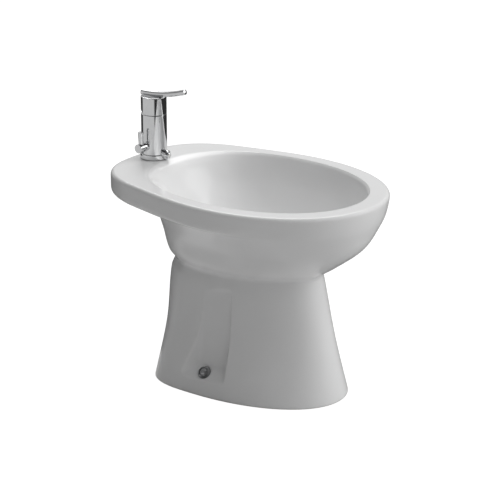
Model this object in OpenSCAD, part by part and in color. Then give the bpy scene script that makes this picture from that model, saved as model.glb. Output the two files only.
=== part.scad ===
// Floor standing bidet: one-piece ceramic bowl and pedestal, single lever mixer,
// pop-up waste worked by a side lever through a cable, and side floor fixings.
// Frame: origin at the middle of the footprint on the floor, +Z up,
// -Y is the user's end, +Y is the wall end. All sizes are in millimetres.

/* [Ceramic body] */
// Overall length from the user's end to the wall end
bidet_length = 545; // [541:1:551]
// Overall width across the rim
bidet_width = 385; // [383:1:389]
// Height of the rim and of the tap deck
rim_height = 390; // [388:1:392]
// Height of the apron, the band under the rim
apron_height = 42; // [40:1:44]
// Thickness of the ceramic wall
wall = 10; // [9.5:0.5:10.5]
// Height at which the belly meets the pedestal
waist_height = 232; // [231:1:234]
// Half width of the pedestal at the waist
waist_half_width = 98; // [97:1:100]
// Half width of the pedestal at the floor
foot_half_width = 136; // [134:1:137]
// Radius of the tap hole
tap_hole_r = 17.5; // [17:0.5:18]
// Distance of the drain centre from the middle, towards the wall
drain_y = 10; // [8:1:12]
// Radius of the drain hole
drain_hole_r = 23; // [22.5:0.5:23.5]

/* [Rear opening] */
// Half width of the pipe opening at the back
pipe_opening_half_w = 52; // [48:1:54]
// Height of the pipe opening's crown
pipe_opening_h = 300; // [290:1:300]

/* [Side fixings] */
// Distance of the fixing screws from the middle, towards the wall
fixing_y = 21; // [19:1:23]
// Height of the fixing screws' seats above the floor
fixing_z = 39; // [38:1:40]
// Slope of the fixing screws above level, in degrees
fixing_tilt = 50; // [48:1:52]
// Distance of the pocket floor from the middle plane above the screw
pocket_floor_x = 101; // [100.5:0.5:101.5]

/* [Mixer] */
// Distance of the mixer axis from the middle, towards the wall
tap_y = 232; // [230:1:233]
// Radius of the mixer body and of the lever cap
body_r = 24.3; // [24.2:0.1:24.5]
// Height of the mixer body's top above the deck
body_top = 87; // [86.8:0.1:87.2]
// Height of the lever cap's top above the deck
cap_top = 121; // [120:0.5:122]
// Radius of the lever bar's section
bar_r = 5; // [4.6:0.1:5.2]
// How far the lever bar reaches in front of the mixer axis
bar_reach = 77; // [72:1:82]
// Radius of the base ring
base_ring_r = 26.7; // [26.5:0.1:27]
// Largest lift of the lever in degrees
lift_max = 25; // [22:1:25]

/* [Pop-up waste] */
// Stroke of the plug
plug_stroke = 9; // [8:0.5:9]
// Outer radius of the tailpiece pipe
tailpiece_r = 16; // [16:0.1:16.1]

/* [Hidden] */

$fn = 48;
ring_points = 56;
half_l = bidet_length / 2;
half_w = bidet_width / 2;
deck_z = rim_height;
apron_z = rim_height - apron_height;
running_gap = 0.05;
ceramic_white = [0.93, 0.93, 0.92];
steel_grey = [0.62, 0.63, 0.65];
chrome_grey = [0.78, 0.79, 0.81];
brass_yellow = [0.78, 0.66, 0.36];
rubber_black = [0.08, 0.08, 0.09];
plastic_white = [0.88, 0.88, 0.86];
plastic_blue = [0.25, 0.4, 0.62];

// ---------------------------------------------------------------- plan outlines
// A plan section is [half width, front y, rear y, widest y, front power, rear power,
// share by which the deck narrows].
function smooth_step(t) = let (u = min(1, max(0, t))) u * u * (3 - 2 * u);

// Radius of a superellipse with half axes a and b at angle t
function super_r(a, b, n, t) =
    pow(pow(abs(cos(t)) / a, n) + pow(abs(sin(t)) / b, n), -1 / n);

function outline_point(s, t) =
    let (
        at_rear = sin(t) > 0,
        b = at_rear ? s[2] - s[3] : s[3] - s[1],
        r = super_r(s[0], b, at_rear ? s[5] : s[4], t),
        taper = at_rear ? s[6] * smooth_step(r * sin(t) / b / 0.6) : 0
    )
    [r * cos(t) * (1 - taper), s[3] + r * sin(t)];

// The same section drawn in by d all round
function inset(s, d) = [s[0] - d, s[1] + d, s[2] - d, s[3], s[4], s[5], s[6]];

// Smooth curve through rows of [z, section], highest first
function slope(keys, i) =
    i == 0 ? (keys[1][1] - keys[0][1]) / (keys[1][0] - keys[0][0]) :
    i == len(keys) - 1 ? (keys[i][1] - keys[i - 1][1]) / (keys[i][0] - keys[i - 1][0]) :
    (keys[i + 1][1] - keys[i - 1][1]) / (keys[i + 1][0] - keys[i - 1][0]);

function section_at(keys, z) =
    let (
        i = max([for (k = [0 : len(keys) - 2]) if (z <= keys[k][0]) k]),
        h = keys[i + 1][0] - keys[i][0],
        t = (z - keys[i][0]) / h
    )
    keys[i][1] * (2 * pow(t, 3) - 3 * pow(t, 2) + 1)
    + slope(keys, i) * h * (pow(t, 3) - 2 * pow(t, 2) + t)
    + keys[i + 1][1] * (3 * pow(t, 2) - 2 * pow(t, 3))
    + slope(keys, i + 1) * h * (pow(t, 3) - pow(t, 2));

// Key sections of the body
rim = [half_w, -half_l, half_l, -20, 2.1, 3, 0.09];
belly_top = [half_w - 8.5, -half_l + 6.5, 166.5, -12, 2.1, 2.05, 0];
belly = [
    [apron_z - 2, belly_top],
    [298, [142.5, -240, 163, 7, 2.1, 2.3, 0]],
    [255, [121.5, -186, 157, 17, 2.1, 2.35, 0]],
    [waist_height, [waist_half_width, -150, 158, 36, 2.1, 1.9, 0]]
];
pedestal = [
    [waist_height, [waist_half_width, -150, 158, 36, 2.1, 1.9, 0]],
    [208, [waist_half_width + 2, -156, 163.5, 36, 2.1, 2.2, 0]],
    [110, [106, -179, 162, 36, 2.1, 2.8, 0]],
    [0, [foot_half_width, -204, 170, 36, 2.1, 3.3, 0]]
];
// Basin surface, from the rim's inner edge down to the drain seat
basin_drop = rim_height - 390;
basin = [
    [390, [162, -237, 202, -20, 2.05, 2.2, 0]],
    [386, [158, -233, 186, -20, 2.05, 2.3, 0]],
    [376, [154, -230, 170, -20, 2.1, 2.4, 0]],
    [335, [139, -212, 142, -18, 2.1, 2.4, 0]],
    [288, [104, -156, 102, -10, 2.1, 2.2, 0]],
    [262, [62, -76, 68, 2, 2, 2, 0]],
    [250, [36, drain_y - 36, drain_y + 36, drain_y, 2, 2, 0]]
];

function ring_at(z, s) =
    [for (k = [0 : ring_points - 1])
        let (p = outline_point(s, 360 * k / ring_points)) [p[0], p[1], z]];

// Rings in order: underside of the basin, inner skin, foot, outer skin, rim, basin
drain_seat_z = 247;
drain_boss_z = 228;
drain_boss_r = 34;
underside_gap = wall + 2;
drain_land = [33, drain_y - 33, drain_y + 33, drain_y, 2, 2, 0];

// Basin section grown by the wall, kept clear of the inner skin at the rear
function underside(z) =
    let (s = inset(section_at(basin, z + 4), -underside_gap), rear = belly_top[2] - wall - 3)
    [s[0], s[1], min(s[2], rear), s[3], s[4], s[5], s[6]];

underside_rings = concat(
    [ring_at(drain_boss_z + 13, drain_land)],
    [for (z = [250, 262, 280, 300, 322, 338]) ring_at(z, underside(z))]
);
cavity_top_ring = ring_at(apron_z + 1, [half_w - 37, -half_l + 32, 152.5, -18, 2.1, 2.4, 0]);
inner_skin_rings = concat(
    [for (z = [338, 318, 290, 262]) ring_at(z, inset(section_at(belly, z), wall))],
    [ring_at(waist_height + 11, inset(section_at(belly, waist_height + 11), wall + 6))],
    [for (z = [218, 165, 110, 55, 0]) ring_at(z, inset(section_at(pedestal, z), wall))]
);
pedestal_rings = concat(
    [ring_at(0, inset(section_at(pedestal, 0), 1.5))],
    [for (z = [2, 25, 55, 85, 120, 160, 195, 212, 224]) ring_at(z, section_at(pedestal, z))]
);
// Height over the apron's lower edge, and how far its sides, front and rear draw in there
apron_draw = [[0, 8, 6.2, 13], [2.5, 3, 5.6, 5.5], [6, 0.8, 4.9, 1.6], [14, 0, 3.3, 0], [25, 0, 1.4, 0]];

// The sides and rear stand out from the belly; towards the front the step fades out
function front_share(y) = let (t = min(max((-80 - y) / 120, 0), 1)) t * t * (3 - 2 * t);
function apron_ring(d) =
    let (
        h = pow(1 - d[0] / (apron_height - 7), 1.35),
        stepped = ring_at(apron_z + d[0], rim + [-d[1], d[2], -d[3], 0, 0, 0, 0]),
        even = ring_at(apron_z + d[0], rim + [-8.4 * h, 6.4 * h, 0, 0, 0, 0, 0])
    )
    [for (k = [0 : ring_points - 1])
        stepped[k] + (even[k] - stepped[k]) * front_share(stepped[k][1])];
outer_skin_rings = concat(
    pedestal_rings,
    [for (z = [waist_height, 240, 250, 262, 278, 298, 318, 335, apron_z - 3])
        ring_at(z, section_at(belly, z))],
    [for (d = apron_draw) apron_ring(d)],
    [ring_at(rim_height - 7, rim)],
    [ring_at(rim_height - 2, inset(rim, 1.8))],
    [ring_at(rim_height, inset(rim, 6.5))]
);
basin_rings = [
    for (z = [390, 389.2, 386, 380, 370, 355, 335, 312, 288, 272, 260, 250])
        ring_at(z + basin_drop, section_at(basin, z))
];
body_rings = concat(underside_rings, [cavity_top_ring], inner_skin_rings, outer_skin_rings,
                    basin_rings);

// Closed skin through a stack of rings, with a flat cap on the first and last
module ring_stack(rings) {
    n = len(rings[0]);
    last = (len(rings) - 1) * n;
    polyhedron(
        points = [for (r = rings) each r],
        faces = concat(
            [[for (k = [0 : n - 1]) k]],
            [for (i = [0 : len(rings) - 2], k = [0 : n - 1])
                let (a = i * n + k, b = i * n + (k + 1) % n)
                each [[a, a + n, b], [b, a + n, b + n]]],
            [[for (k = [n - 1 : -1 : 0]) last + k]]
        ),
        convexity = 8
    );
}

// ------------------------------------------------------------------ ceramic body
pocket_yaw = 0.12;
pocket_lean = 0.02;
fixing_x = 114;
pocket_mouth_x = 160;

// Height at x of a plane square to the fixing screw, u along the screw from its seat
function face_z(u, x) = fixing_z + (u - (x - fixing_x) * cos(fixing_tilt)) / sin(fixing_tilt);

// The pocket's floor leans in towards its top; the screw's ledge slopes down from its foot
function pocket_floor_at(y, z) =
    pocket_floor_x + pocket_yaw * (y - fixing_y) - pocket_lean * (z - fixing_z);
function ledge_foot(y) =
    let (x = pocket_floor_at(y, face_z(0, 0)) / (1 - pocket_lean / tan(fixing_tilt)))
    [x, y, face_z(0, x)];

// Pocket corners: on its floor, and where its sides reach the plane beyond the skin
pocket_floor = concat(
    [for (p = [[-28, 208], [28, 200]]) [pocket_floor_at(p[0], p[1]), p[0], p[1]]],
    [ledge_foot(43), ledge_foot(-25)]
);
pocket_mouth = [for (p = [[-40, 214], [116, 204], [130, face_z(0, pocket_mouth_x)],
                          [-38, face_z(0, pocket_mouth_x)]])
    [pocket_mouth_x, p[0], p[1]]];
overflow_z = 352;
overflow_r = 11;
overflow_flange_r = 14;
duct_outer = [[-246, 366], [-256, 352], [-233, 302], [-186, 264], [-118, 240], [-22, 230],
              [-22, 243], [-110, 262], [-186, 292], [-222, 345]];
duct_inner = [[-234, 360], [-245, 351], [-225, 306], [-180, 272], [-114, 249], [-10, 238],
              [-10, 244], [-112, 256], [-176, 281], [-216, 310], [-232, 345]];
recess_plan = [[-68, 188], [68, 188], [56, 256], [-56, 256]];
deck_thickness = 14;

// Prism of a profile drawn in Y and Z, running along X from x0 to x1
module profile_along_x(profile, x0, x1) {
    translate([x0, 0, 0])
        rotate([90, 0, 90])
            linear_extrude(height = x1 - x0) polygon(profile);
}

// Pocket in the +X side, grown by d all round
module pocket(d = 0) {
    function spread(p, dx) = p + [-dx, p[1] > 0 ? d : -d, p[2] > 100 ? d : -d];
    hull()
        polyhedron(
            points = concat([for (p = pocket_floor) spread(p, d)],
                            [for (p = pocket_mouth) spread(p, 0)]),
            faces = concat(
                [[3, 2, 1, 0]], [[4, 5, 6, 7]],
                [for (k = [0 : 3]) [k, (k + 1) % 4, 4 + (k + 1) % 4, 4 + k]]
            )
        );
}

// Ceramic behind the pocket's floor and sides
module pocket_backing() {
    intersection() {
        ring_stack(pedestal_rings);
        pocket(wall - 1);
    }
}

// Place on the basin's front wall at the overflow, with +Z square to the wall
module on_overflow() {
    wall_y = section_at(basin, overflow_z - basin_drop)[1];
    rise = section_at(basin, overflow_z - basin_drop - 5)[1]
         - section_at(basin, overflow_z - basin_drop + 5)[1];
    translate([0, wall_y, overflow_z]) rotate([-90 + atan(rise / 10), 0, 0]) children();
}

module rod_x(r, x0, x1, y, z) {
    translate([x0, y, z]) rotate([0, 90, 0]) cylinder(r = r, h = x1 - x0);
}

module rod_y(r, y0, y1, x, z) {
    translate([x, y0, z]) rotate([-90, 0, 0]) cylinder(r = r, h = y1 - y0);
}

module rod_z(r, z0, z1, x = 0, y = 0) {
    translate([x, y, z0]) cylinder(r = r, h = z1 - z0);
}

module tube_z(r_out, r_in, z0, z1, x = 0, y = 0) {
    difference() {
        rod_z(r_out, z0, z1, x, y);
        rod_z(r_in, z0 - 1, z1 + 1, x, y);
    }
}

module hex_z(across_flats, z0, z1, x = 0, y = 0) {
    translate([x, y, z0]) cylinder(r = across_flats / sqrt(3), h = z1 - z0, $fn = 6);
}

// Place on the +X side's ledge at the fixing screw, with +X along the screw
module on_fixing() {
    translate([fixing_x, fixing_y, fixing_z]) rotate([0, -fixing_tilt, 0]) children();
}

module both_sides() {
    children();
    mirror([1, 0, 0]) children();
}

module ceramic_body() {
    color(ceramic_white)
        difference() {
            union() {
                ring_stack(body_rings);
                rod_z(drain_boss_r, drain_boss_z, 246, 0, drain_y);
                both_sides() pocket_backing();
                profile_along_x(duct_outer, -19, 19);
            }
            profile_along_x(duct_inner, -12, 12);
            on_overflow() rod_z(overflow_r, -18, 8);
            on_overflow() rod_z(overflow_flange_r + 0.2, -1, 8);
            both_sides() pocket();
            both_sides() on_fixing() rod_x(cup_r + 1, -seat_depth, 30, 0, 0);
            both_sides() on_fixing() rod_x(6, -30, 5, 0, 0);
            pipe_opening();
            deck_recess();
            rod_z(tap_hole_r, deck_z - deck_thickness - 1, deck_z + 5, 0, tap_y);
            rod_z(33, drain_seat_z, 262, 0, drain_y);
            rod_z(drain_hole_r, drain_boss_z - 5, 262, 0, drain_y);
        }
}

module pipe_opening() {
    spring_z = pipe_opening_h - pipe_opening_half_w;
    translate([-pipe_opening_half_w, 136, -5])
        cube([2 * pipe_opening_half_w, 60, spring_z + 5]);
    rod_y(pipe_opening_half_w, 136, 196, 0, spring_z);
}

module deck_recess() {
    translate([0, 0, apron_z - 4])
        linear_extrude(height = apron_height - deck_thickness + 4) polygon(recess_plan);
}

// ---------------------------------------------------------------- floor fixings
bracket_t = 3;
bracket_half_w = 18;
bracket_inner_x = 49.5;
bracket_outer_x = 111.5;
floor_screw_x = 65.5;
leaf_u = -14.5;
leaf_top = 15;
seat_depth = 0.8;
cup_r = 12.6;
cup_h = 7;
head_r = 7.6;
head_h = 3.6;
screw_r = 3;

// Point in X and Z: u along the fixing screw from its seat, w square to it, inwards and up
function by_screw(u, w) = [fixing_x + u * cos(fixing_tilt) - w * sin(fixing_tilt),
                           fixing_z + u * sin(fixing_tilt) + w * cos(fixing_tilt)];

// Floor bracket: a foot on the floor, a riser, and a leaf square to the fixing screw
module floor_bracket() {
    leaf_back = leaf_u - bracket_t;
    riser_x = bracket_outer_x - bracket_t;
    color(steel_grey)
        difference() {
            translate([0, fixing_y + bracket_half_w, 0])
                rotate([90, 0, 0])
                    linear_extrude(height = 2 * bracket_half_w)
                        polygon([
                            [bracket_inner_x, 0], [bracket_outer_x, 0],
                            [bracket_outer_x, face_z(leaf_u, bracket_outer_x)],
                            by_screw(leaf_u, leaf_top), by_screw(leaf_back, leaf_top),
                            [riser_x, face_z(leaf_back, riser_x)],
                            [riser_x, bracket_t], [bracket_inner_x, bracket_t]
                        ]);
            on_fixing() rod_x(screw_r + 0.2, leaf_back - 2, leaf_u + 2, 0, 0);
            for (dy = [-9, 9])
                rod_z(3.5, -1, bracket_t + 1, floor_screw_x, fixing_y + dy);
        }
}

module floor_bracket_right() {
    floor_bracket();
}

module floor_bracket_left() {
    mirror([1, 0, 0]) floor_bracket();
}

module side_screws() {
    head_u = cup_h - seat_depth - 2.8;
    color(chrome_grey)
        both_sides()
            on_fixing()
                difference() {
                    union() {
                        rod_x(screw_r, leaf_u - bracket_t - 6.5, head_u, 0, 0);
                        rod_x(head_r, head_u, head_u + head_h, 0, 0);
                    }
                    translate([head_u + head_h - 1.4, -head_r - 1, -0.7])
                        cube([3, 2 * head_r + 2, 1.4]);
                }
}

module screw_cups() {
    color(steel_grey)
        both_sides()
            on_fixing()
                difference() {
                    translate([-seat_depth, 0, 0])
                        rotate([0, 90, 0]) cylinder(r1 = cup_r, r2 = cup_r - 2, h = cup_h);
                    rod_x(screw_r + 0.3, -seat_depth - 1, cup_h, 0, 0);
                    rod_x(head_r + 0.3, cup_h - seat_depth - 2.8, cup_h + 1, 0, 0);
                }
}

module screw_bushes() {
    color(plastic_white)
        both_sides()
            on_fixing()
                difference() {
                    rod_x(5.9, leaf_u + 0.1, -seat_depth - 0.1, 0, 0);
                    rod_x(screw_r + 0.1, leaf_u - 1, 1, 0, 0);
                }
}

module bracket_nuts() {
    color(steel_grey)
        both_sides()
            on_fixing()
                difference() {
                    translate([leaf_u - bracket_t - 5, 0, 0])
                        rotate([0, 90, 0]) cylinder(r = 5.8, h = 5, $fn = 6);
                    rod_x(screw_r + 0.02, leaf_u - bracket_t - 8, leaf_u, 0, 0);
                }
}

// ------------------------------------------------------------------ mixer body
// Heights in this part are above the deck, on the mixer's axis.
body_foot = 3.8;
cavity_r = 18.3;
cavity_floor = 60;
thread_r = 20;
thread_floor = 78;
spigot_r = 17.2;
inlet_x = 6.4;
inlet_y = 9.6;
inlet_r = 4.9;
inlet_depth = 18;
passage_r = 2.5;
outlet_r = 2.8;
passage_foot = [6.6, 9.6, 14];
passage_head = [6.4, -6.8, 61];
outlet_foot = [0, -11, 14];
outlet_head = [0, 6, 61];
stud_x = 10.5;
stud_y = -6;
stud_r = 4;
popup_z = 27;
popup_bore_r = 6;
popup_bore_end = -11.4;
cable_x = -12;
cable_y = -4;
spout_tilt = 10;
spout_z = 15.8;
spout_r = 9;
boss_end = 26.6;
ball_s = 30.2;
ball_r = 7;

module on_mixer_axis() {
    translate([0, tap_y, deck_z]) children();
}

// Round passage from one point to another
module rod_between(r, a, b) {
    d = b - a;
    translate(a) rotate([0, acos(d[2] / norm(d)), atan2(d[1], d[0])]) cylinder(r = r, h = norm(d));
}

// Places children with +Z along the nozzle's axis, which leaves the body to the front
module on_spout_axis() {
    translate([0, 0, spout_z]) rotate([90 + spout_tilt, 0, 0]) children();
}

module mixer_body() {
    color(chrome_grey)
        on_mixer_axis()
            difference() {
                union() {
                    rod_z(body_r, body_foot, body_top);
                    rod_z(spigot_r, -4, body_foot + 1);
                    on_spout_axis() rod_z(spout_r, 12, boss_end);
                }
                rod_z(cavity_r, cavity_floor, body_top + 1);
                rod_z(thread_r, thread_floor, body_top + 1);
                for (side = [-1, 1]) {
                    rod_z(inlet_r, -5, inlet_depth, side * inlet_x, inlet_y);
                    rod_between(passage_r, [side * passage_foot[0], passage_foot[1], passage_foot[2]],
                                [side * passage_head[0], passage_head[1], passage_head[2]]);
                }
                rod_z(stud_r, -5, 20, stud_x, stud_y);
                rod_between(outlet_r, outlet_foot, outlet_head);
                on_spout_axis() rod_z(4.5, 8, 30);
                on_spout_axis() rod_z(7.4, boss_end - 3, 30);
                rod_x(popup_bore_r + 0.05, -26, popup_bore_end, 0, popup_z);
                rod_z(2.6, -5, popup_z, cable_x, cable_y);
            }
}

module base_ring() {
    color(chrome_grey)
        on_mixer_axis()
            difference() {
                union() {
                    rod_z(base_ring_r, 1, 7);
                    rotate_extrude() translate([base_ring_r - 3, 7]) circle(r = 3);
                }
                rod_z(body_r + 0.05, body_foot, 12);
                rod_z(spigot_r + 0.2, 0, 5);
                on_spout_axis() rod_z(spout_r + 0.1, 10, 40);
            }
}

module base_seal() {
    color(rubber_black) on_mixer_axis() tube_z(25.4, 18.5, 0, 1);
}

module deck_gasket() {
    color(rubber_black)
        on_mixer_axis()
            clamp_shape(-deck_thickness - 3, -deck_thickness, 23);
}

module clamp_plate() {
    color(steel_grey)
        on_mixer_axis()
            clamp_shape(-deck_thickness - 6, -deck_thickness - 3, 22);
}

// Horseshoe plate, open to the wall side for the pipes and the cable
module clamp_shape(z0, z1, r) {
    slot = [[-17, -9], [4, -9], [4, 1], [13, 3], [13, 30], [-17, 30]];
    difference() {
        rod_z(r, z0, z1);
        translate([0, 0, z0 - 1]) linear_extrude(height = z1 - z0 + 2) polygon(slot);
        rod_z(stud_r + 0.3, z0 - 1, z1 + 1, stud_x, stud_y);
    }
}

module fixing_stud() {
    color(steel_grey) on_mixer_axis() rod_z(stud_r - 0.02, -37, 19, stud_x, stud_y);
}

module fixing_nut() {
    color(brass_yellow)
        on_mixer_axis()
            difference() {
                hex_z(13, -deck_thickness - 17, -deck_thickness - 6, stud_x, stud_y);
                rod_z(stud_r, -40, 0, stud_x, stud_y);
            }
}

// ------------------------------------------------------------------- cartridge
base_top = 68;
disc_top = 71.5;
moving_disc_top = 75.5;
pivot_z = 88;
housing_top = 84;
swivel_r = 13.6;
swivel_neck_r = 12.5;
seal_r = 4.8;
seal_t = 1.2;
stem_half = 4;
disc_rest_y = 2.6;
disc_r = 12;
chamber_r = 5.6;
chamber_y = 0.8;
disc_inlet_r = 2.2;
disc_inlet = [4.6, -5.4];
disc_outlet_r = 3;
disc_outlet_y = 4.6;
cartridge_ports = [
    [-passage_head[0], passage_head[1]], [passage_head[0], passage_head[1]],
    [outlet_head[0], outlet_head[1]]
];

module cartridge_base() {
    color(plastic_white)
        on_mixer_axis()
            difference() {
                rod_z(18.2, cavity_floor, base_top);
                for (p = cartridge_ports) {
                    rod_z(outlet_r, 50, 80, p[0], p[1]);
                    rod_z(seal_r, 50, cavity_floor + seal_t, p[0], p[1]);
                }
            }
}

module cartridge_seals() {
    color(rubber_black)
        on_mixer_axis() {
            for (p = cartridge_ports)
                tube_z(seal_r, seal_r - 1.1, cavity_floor, cavity_floor + seal_t, p[0], p[1]);
        }
}

module fixed_disc() {
    color(ceramic_white)
        on_mixer_axis()
            difference() {
                rod_z(15, base_top, disc_top);
                for (side = [-1, 1])
                    rod_z(disc_inlet_r, base_top - 1, disc_top + 1, side * disc_inlet[0], disc_inlet[1]);
                rod_z(disc_outlet_r, base_top - 1, disc_top + 1, 0, disc_outlet_y);
            }
}

module moving_disc() {
    color([0.75, 0.76, 0.78])
        on_mixer_axis()
            difference() {
                rod_z(disc_r, disc_top + 0.1, moving_disc_top, 0, disc_rest_y);
                // chamber that joins the inlets to the outlet once the disc has slid forward
                rod_z(chamber_r, disc_top, disc_top + 1.2, 0, disc_rest_y + chamber_y);
                translate([-stem_half - 0.4, -stem_half / 2 - 0.6, moving_disc_top - 2.2])
                    cube([2 * stem_half + 0.8, stem_half + 1.2, 4]);
            }
}

module cartridge_housing() {
    color(plastic_blue)
        on_mixer_axis()
            difference() {
                rod_z(18.2, base_top, housing_top);
                rod_z(15.1, base_top - 1, moving_disc_top + 0.4);
                rod_z(swivel_r + running_gap, base_top, housing_top + 1);
            }
}

module cartridge_nut() {
    color(chrome_grey)
        on_mixer_axis()
            difference() {
                union() {
                    rod_z(thread_r - 0.02, housing_top, body_top);
                    rod_z(18.6, body_top - 1, 91);
                }
                rod_z(swivel_neck_r + 0.4, 80, 92);
            }
}

module cartridge_swivel() {
    color(plastic_white)
        on_mixer_axis()
            difference() {
                union() {
                    rod_z(swivel_r, moving_disc_top + 0.6, housing_top - 0.2);
                    rod_z(swivel_neck_r, housing_top - 1, 92);
                }
                // slot in which the stem tilts
                translate([-stem_half - 0.3, -9.2, 60]) cube([2 * stem_half + 0.6, 18.4, 40]);
                rod_x(1.5, -14, 14, 0, pivot_z);
            }
}

module stem_pin() {
    color(steel_grey) on_mixer_axis() rod_x(1.49, -11.8, 11.8, 0, pivot_z);
}

module cartridge_stem() {
    color(steel_grey)
        on_mixer_axis()
            difference() {
                union() {
                    translate([-stem_half, -stem_half / 2, moving_disc_top - 1.4])
                        cube([2 * stem_half, stem_half, 14]);
                    translate([-stem_half, -stem_half, 82]) cube([2 * stem_half, 2 * stem_half, 29]);
                }
                rod_x(1.49 + running_gap, -5, 5, 0, pivot_z);
            }
}

// ---------------------------------------------------------------- lever handle
cap_bottom = 87.6;
cap_wall = 2.5;
cap_ceiling = 112;
boss_r = 8;
bar_low_y = 23.4;
bar_curve_r = 312;
bar_low_z = cap_top + 2.6;
bar_rear = 28.5;

module lever_handle() {
    color(chrome_grey)
        on_mixer_axis()
            difference() {
                union() {
                    rod_z(body_r, cap_bottom, cap_top - 1);
                    translate([0, 0, cap_top - 1])
                        cylinder(r1 = body_r, r2 = body_r - 1, h = 1);
                    lever_bar();
                }
                difference() {
                    rod_z(body_r - cap_wall, cap_bottom - 1, cap_ceiling);
                    rod_z(boss_r, 98.5, cap_ceiling + 1);
                }
                tilt_relief();
                translate([-stem_half - 0.02, -stem_half - 0.02, 90])
                    cube([2 * stem_half + 0.04, 2 * stem_half + 0.04, 21.2]);
                rod_y(2.5, 0, 30, 0, 104);
                rod_y(4, body_r - 1.5, 30, 0, 104);
            }
}

// Wedge cut away under the cap's rear so that the lever can lift
module tilt_relief() {
    translate([0, 0, pivot_z])
        rotate([lift_max, 0, 0])
            translate([-40, -60, -60 - 0.7]) cube([80, 120, 60]);
}

// Round bar that lies across the cap and curves up towards its tip
module lever_bar() {
    rear_angle = asin((bar_rear - bar_low_y) / bar_curve_r);
    front_angle = asin((bar_reach + bar_low_y) / bar_curve_r);
    translate([0, bar_low_y, bar_low_z + bar_curve_r])
        rotate([0, 90, 0])
            rotate([0, 0, -front_angle])
                rotate_extrude(angle = rear_angle + front_angle, $fn = 96)
                    translate([bar_curve_r, 0]) circle(r = bar_r);
}

module handle_screw() {
    color(steel_grey)
        on_mixer_axis()
            difference() {
                rod_y(2.48, stem_half + 0.05, stem_half + 8, 0, 104);
                rod_y(1.2, stem_half + 5, stem_half + 9, 0, 104);
            }
}

module temperature_plug() {
    color([0.7, 0.12, 0.1])
        on_mixer_axis() rod_y(3.95, body_r - 1.5, body_r - 0.3, 0, 104);
}

// --------------------------------------------------------------------- nozzle
module spout_ring() {
    color(chrome_grey)
        on_mixer_axis()
            on_spout_axis()
                difference() {
                    union() {
                        rod_z(spout_r, boss_end, ball_s + 2.4);
                        translate([0, 0, ball_s + 2.4])
                            cylinder(r1 = spout_r, r2 = spout_r - 1.2, h = 1.2);
                    }
                    rod_z(ball_r + 0.15, boss_end - 1, ball_s + 2.2);
                    rod_z(ball_r - 0.22, boss_end - 1, ball_s + 8);
                }
}

module ball_seat() {
    color(plastic_white)
        on_mixer_axis()
            on_spout_axis()
                difference() {
                    rod_z(6.9, boss_end - 2.9, ball_s - 0.4);
                    rod_z(4.6, boss_end - 5, 40);
                    translate([0, 0, ball_s]) sphere(r = ball_r + 0.08);
                }
}

module spout_ball() {
    color(chrome_grey)
        on_mixer_axis()
            on_spout_axis()
                difference() {
                    union() {
                        translate([0, 0, ball_s]) sphere(r = ball_r);
                        rod_z(5.4, ball_s, ball_s + 7.4);
                    }
                    rod_z(3.6, 20, 50);
                    // dimples on the axis about which the ball tilts
                    for (x = [-8, 6.2]) rod_x(0.8, x, x + 1.8, 0, ball_s);
                }
}

module aerator_insert() {
    color(plastic_white)
        on_mixer_axis()
            on_spout_axis()
                difference() {
                    rod_z(3.58, ball_s + 4.5, ball_s + 7.1);
                    for (a = [0 : 60 : 300])
                        rod_z(0.6, ball_s + 4, ball_s + 8, 2.1 * cos(a), 2.1 * sin(a));
                    rod_z(0.6, ball_s + 4, ball_s + 8);
                }
}

// --------------------------------------------------------------- pop-up control
hub_outer_x = -47.5;
hub_inner_x = -29.4;
hub_r = 8.5;
pin_x = -38.4;
shaft_r = 3.5;
crank_r = 5.4;

module popup_bushing() {
    color(chrome_grey)
        on_mixer_axis()
            difference() {
                union() {
                    rod_x(popup_bore_r, -24.6, -16, 0, popup_z);
                    rod_x(7.6, hub_inner_x + 0.3, -24, 0, popup_z);
                }
                rod_x(shaft_r + running_gap, -30, -10, 0, popup_z);
                difference() {
                    rod_z(body_r + 0.05, 0, 50);
                    rod_x(popup_bore_r, -40, -10, 0, popup_z);
                }
            }
}

module popup_lever() {
    color(chrome_grey)
        on_mixer_axis() {
            rod_x(hub_r, hub_outer_x + 0.8, hub_inner_x, 0, popup_z);
            rod_x(hub_r - 0.8, hub_outer_x, hub_outer_x + 1, 0, popup_z);
            translate([pin_x, 0, popup_z + 6])
                cylinder(r1 = 4.3, r2 = 5.5, h = 25);
            rod_x(shaft_r, hub_inner_x - 1, -13.5, 0, popup_z);
            rod_x(crank_r, -15.8, -13.6, 0, popup_z);
            rod_x(1.2, -13.7, -11.7, -3.6, popup_z);
        }
}

module cable_gland_mixer() {
    color(brass_yellow)
        on_mixer_axis() {
            tube_z(2.58, 1.2, -4, 8, cable_x, cable_y);
            tube_z(4, 1.2, -10, -4, cable_x, cable_y);
        }
}

// Route of the control cable's centre line, from the mixer to the waste
cable_r = 2.5;
cable_end = [32, drain_y + 28];
cable_route = [
    [cable_x, tap_y + cable_y, deck_z - 10], [cable_x, tap_y + cable_y, deck_z - 22],
    [-11, 225, 358], [-6, 214, 347], [0, 200, 338], [8, 186, 322], [14, 174, 300],
    [19, 160, 272], [23, 142, 246], [27, 116, 226], [30, 86, 217], [32, 62, 214],
    [32, 46, 208], [cable_end[0], cable_end[1], 199], [cable_end[0], cable_end[1], 190]
];

// Direction of the route at point i
function route_dir(p, i) =
    let (a = p[max(0, i - 1)], b = p[min(len(p) - 1, i + 1)], d = b - a) d / norm(d);

function route_ring(p, i, r, sides) =
    let (
        d = route_dir(p, i),
        side = cross(d, [1, 0, 0]) / norm(cross(d, [1, 0, 0])),
        up = cross(side, d)
    )
    [for (k = [0 : sides - 1])
        p[i] + r * (cos(360 * k / sides) * side + sin(360 * k / sides) * up)];

module control_cable() {
    color(rubber_black)
        ring_stack([for (i = [0 : len(cable_route) - 1])
            route_ring(cable_route, i, cable_r, 8)]);
}

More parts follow.
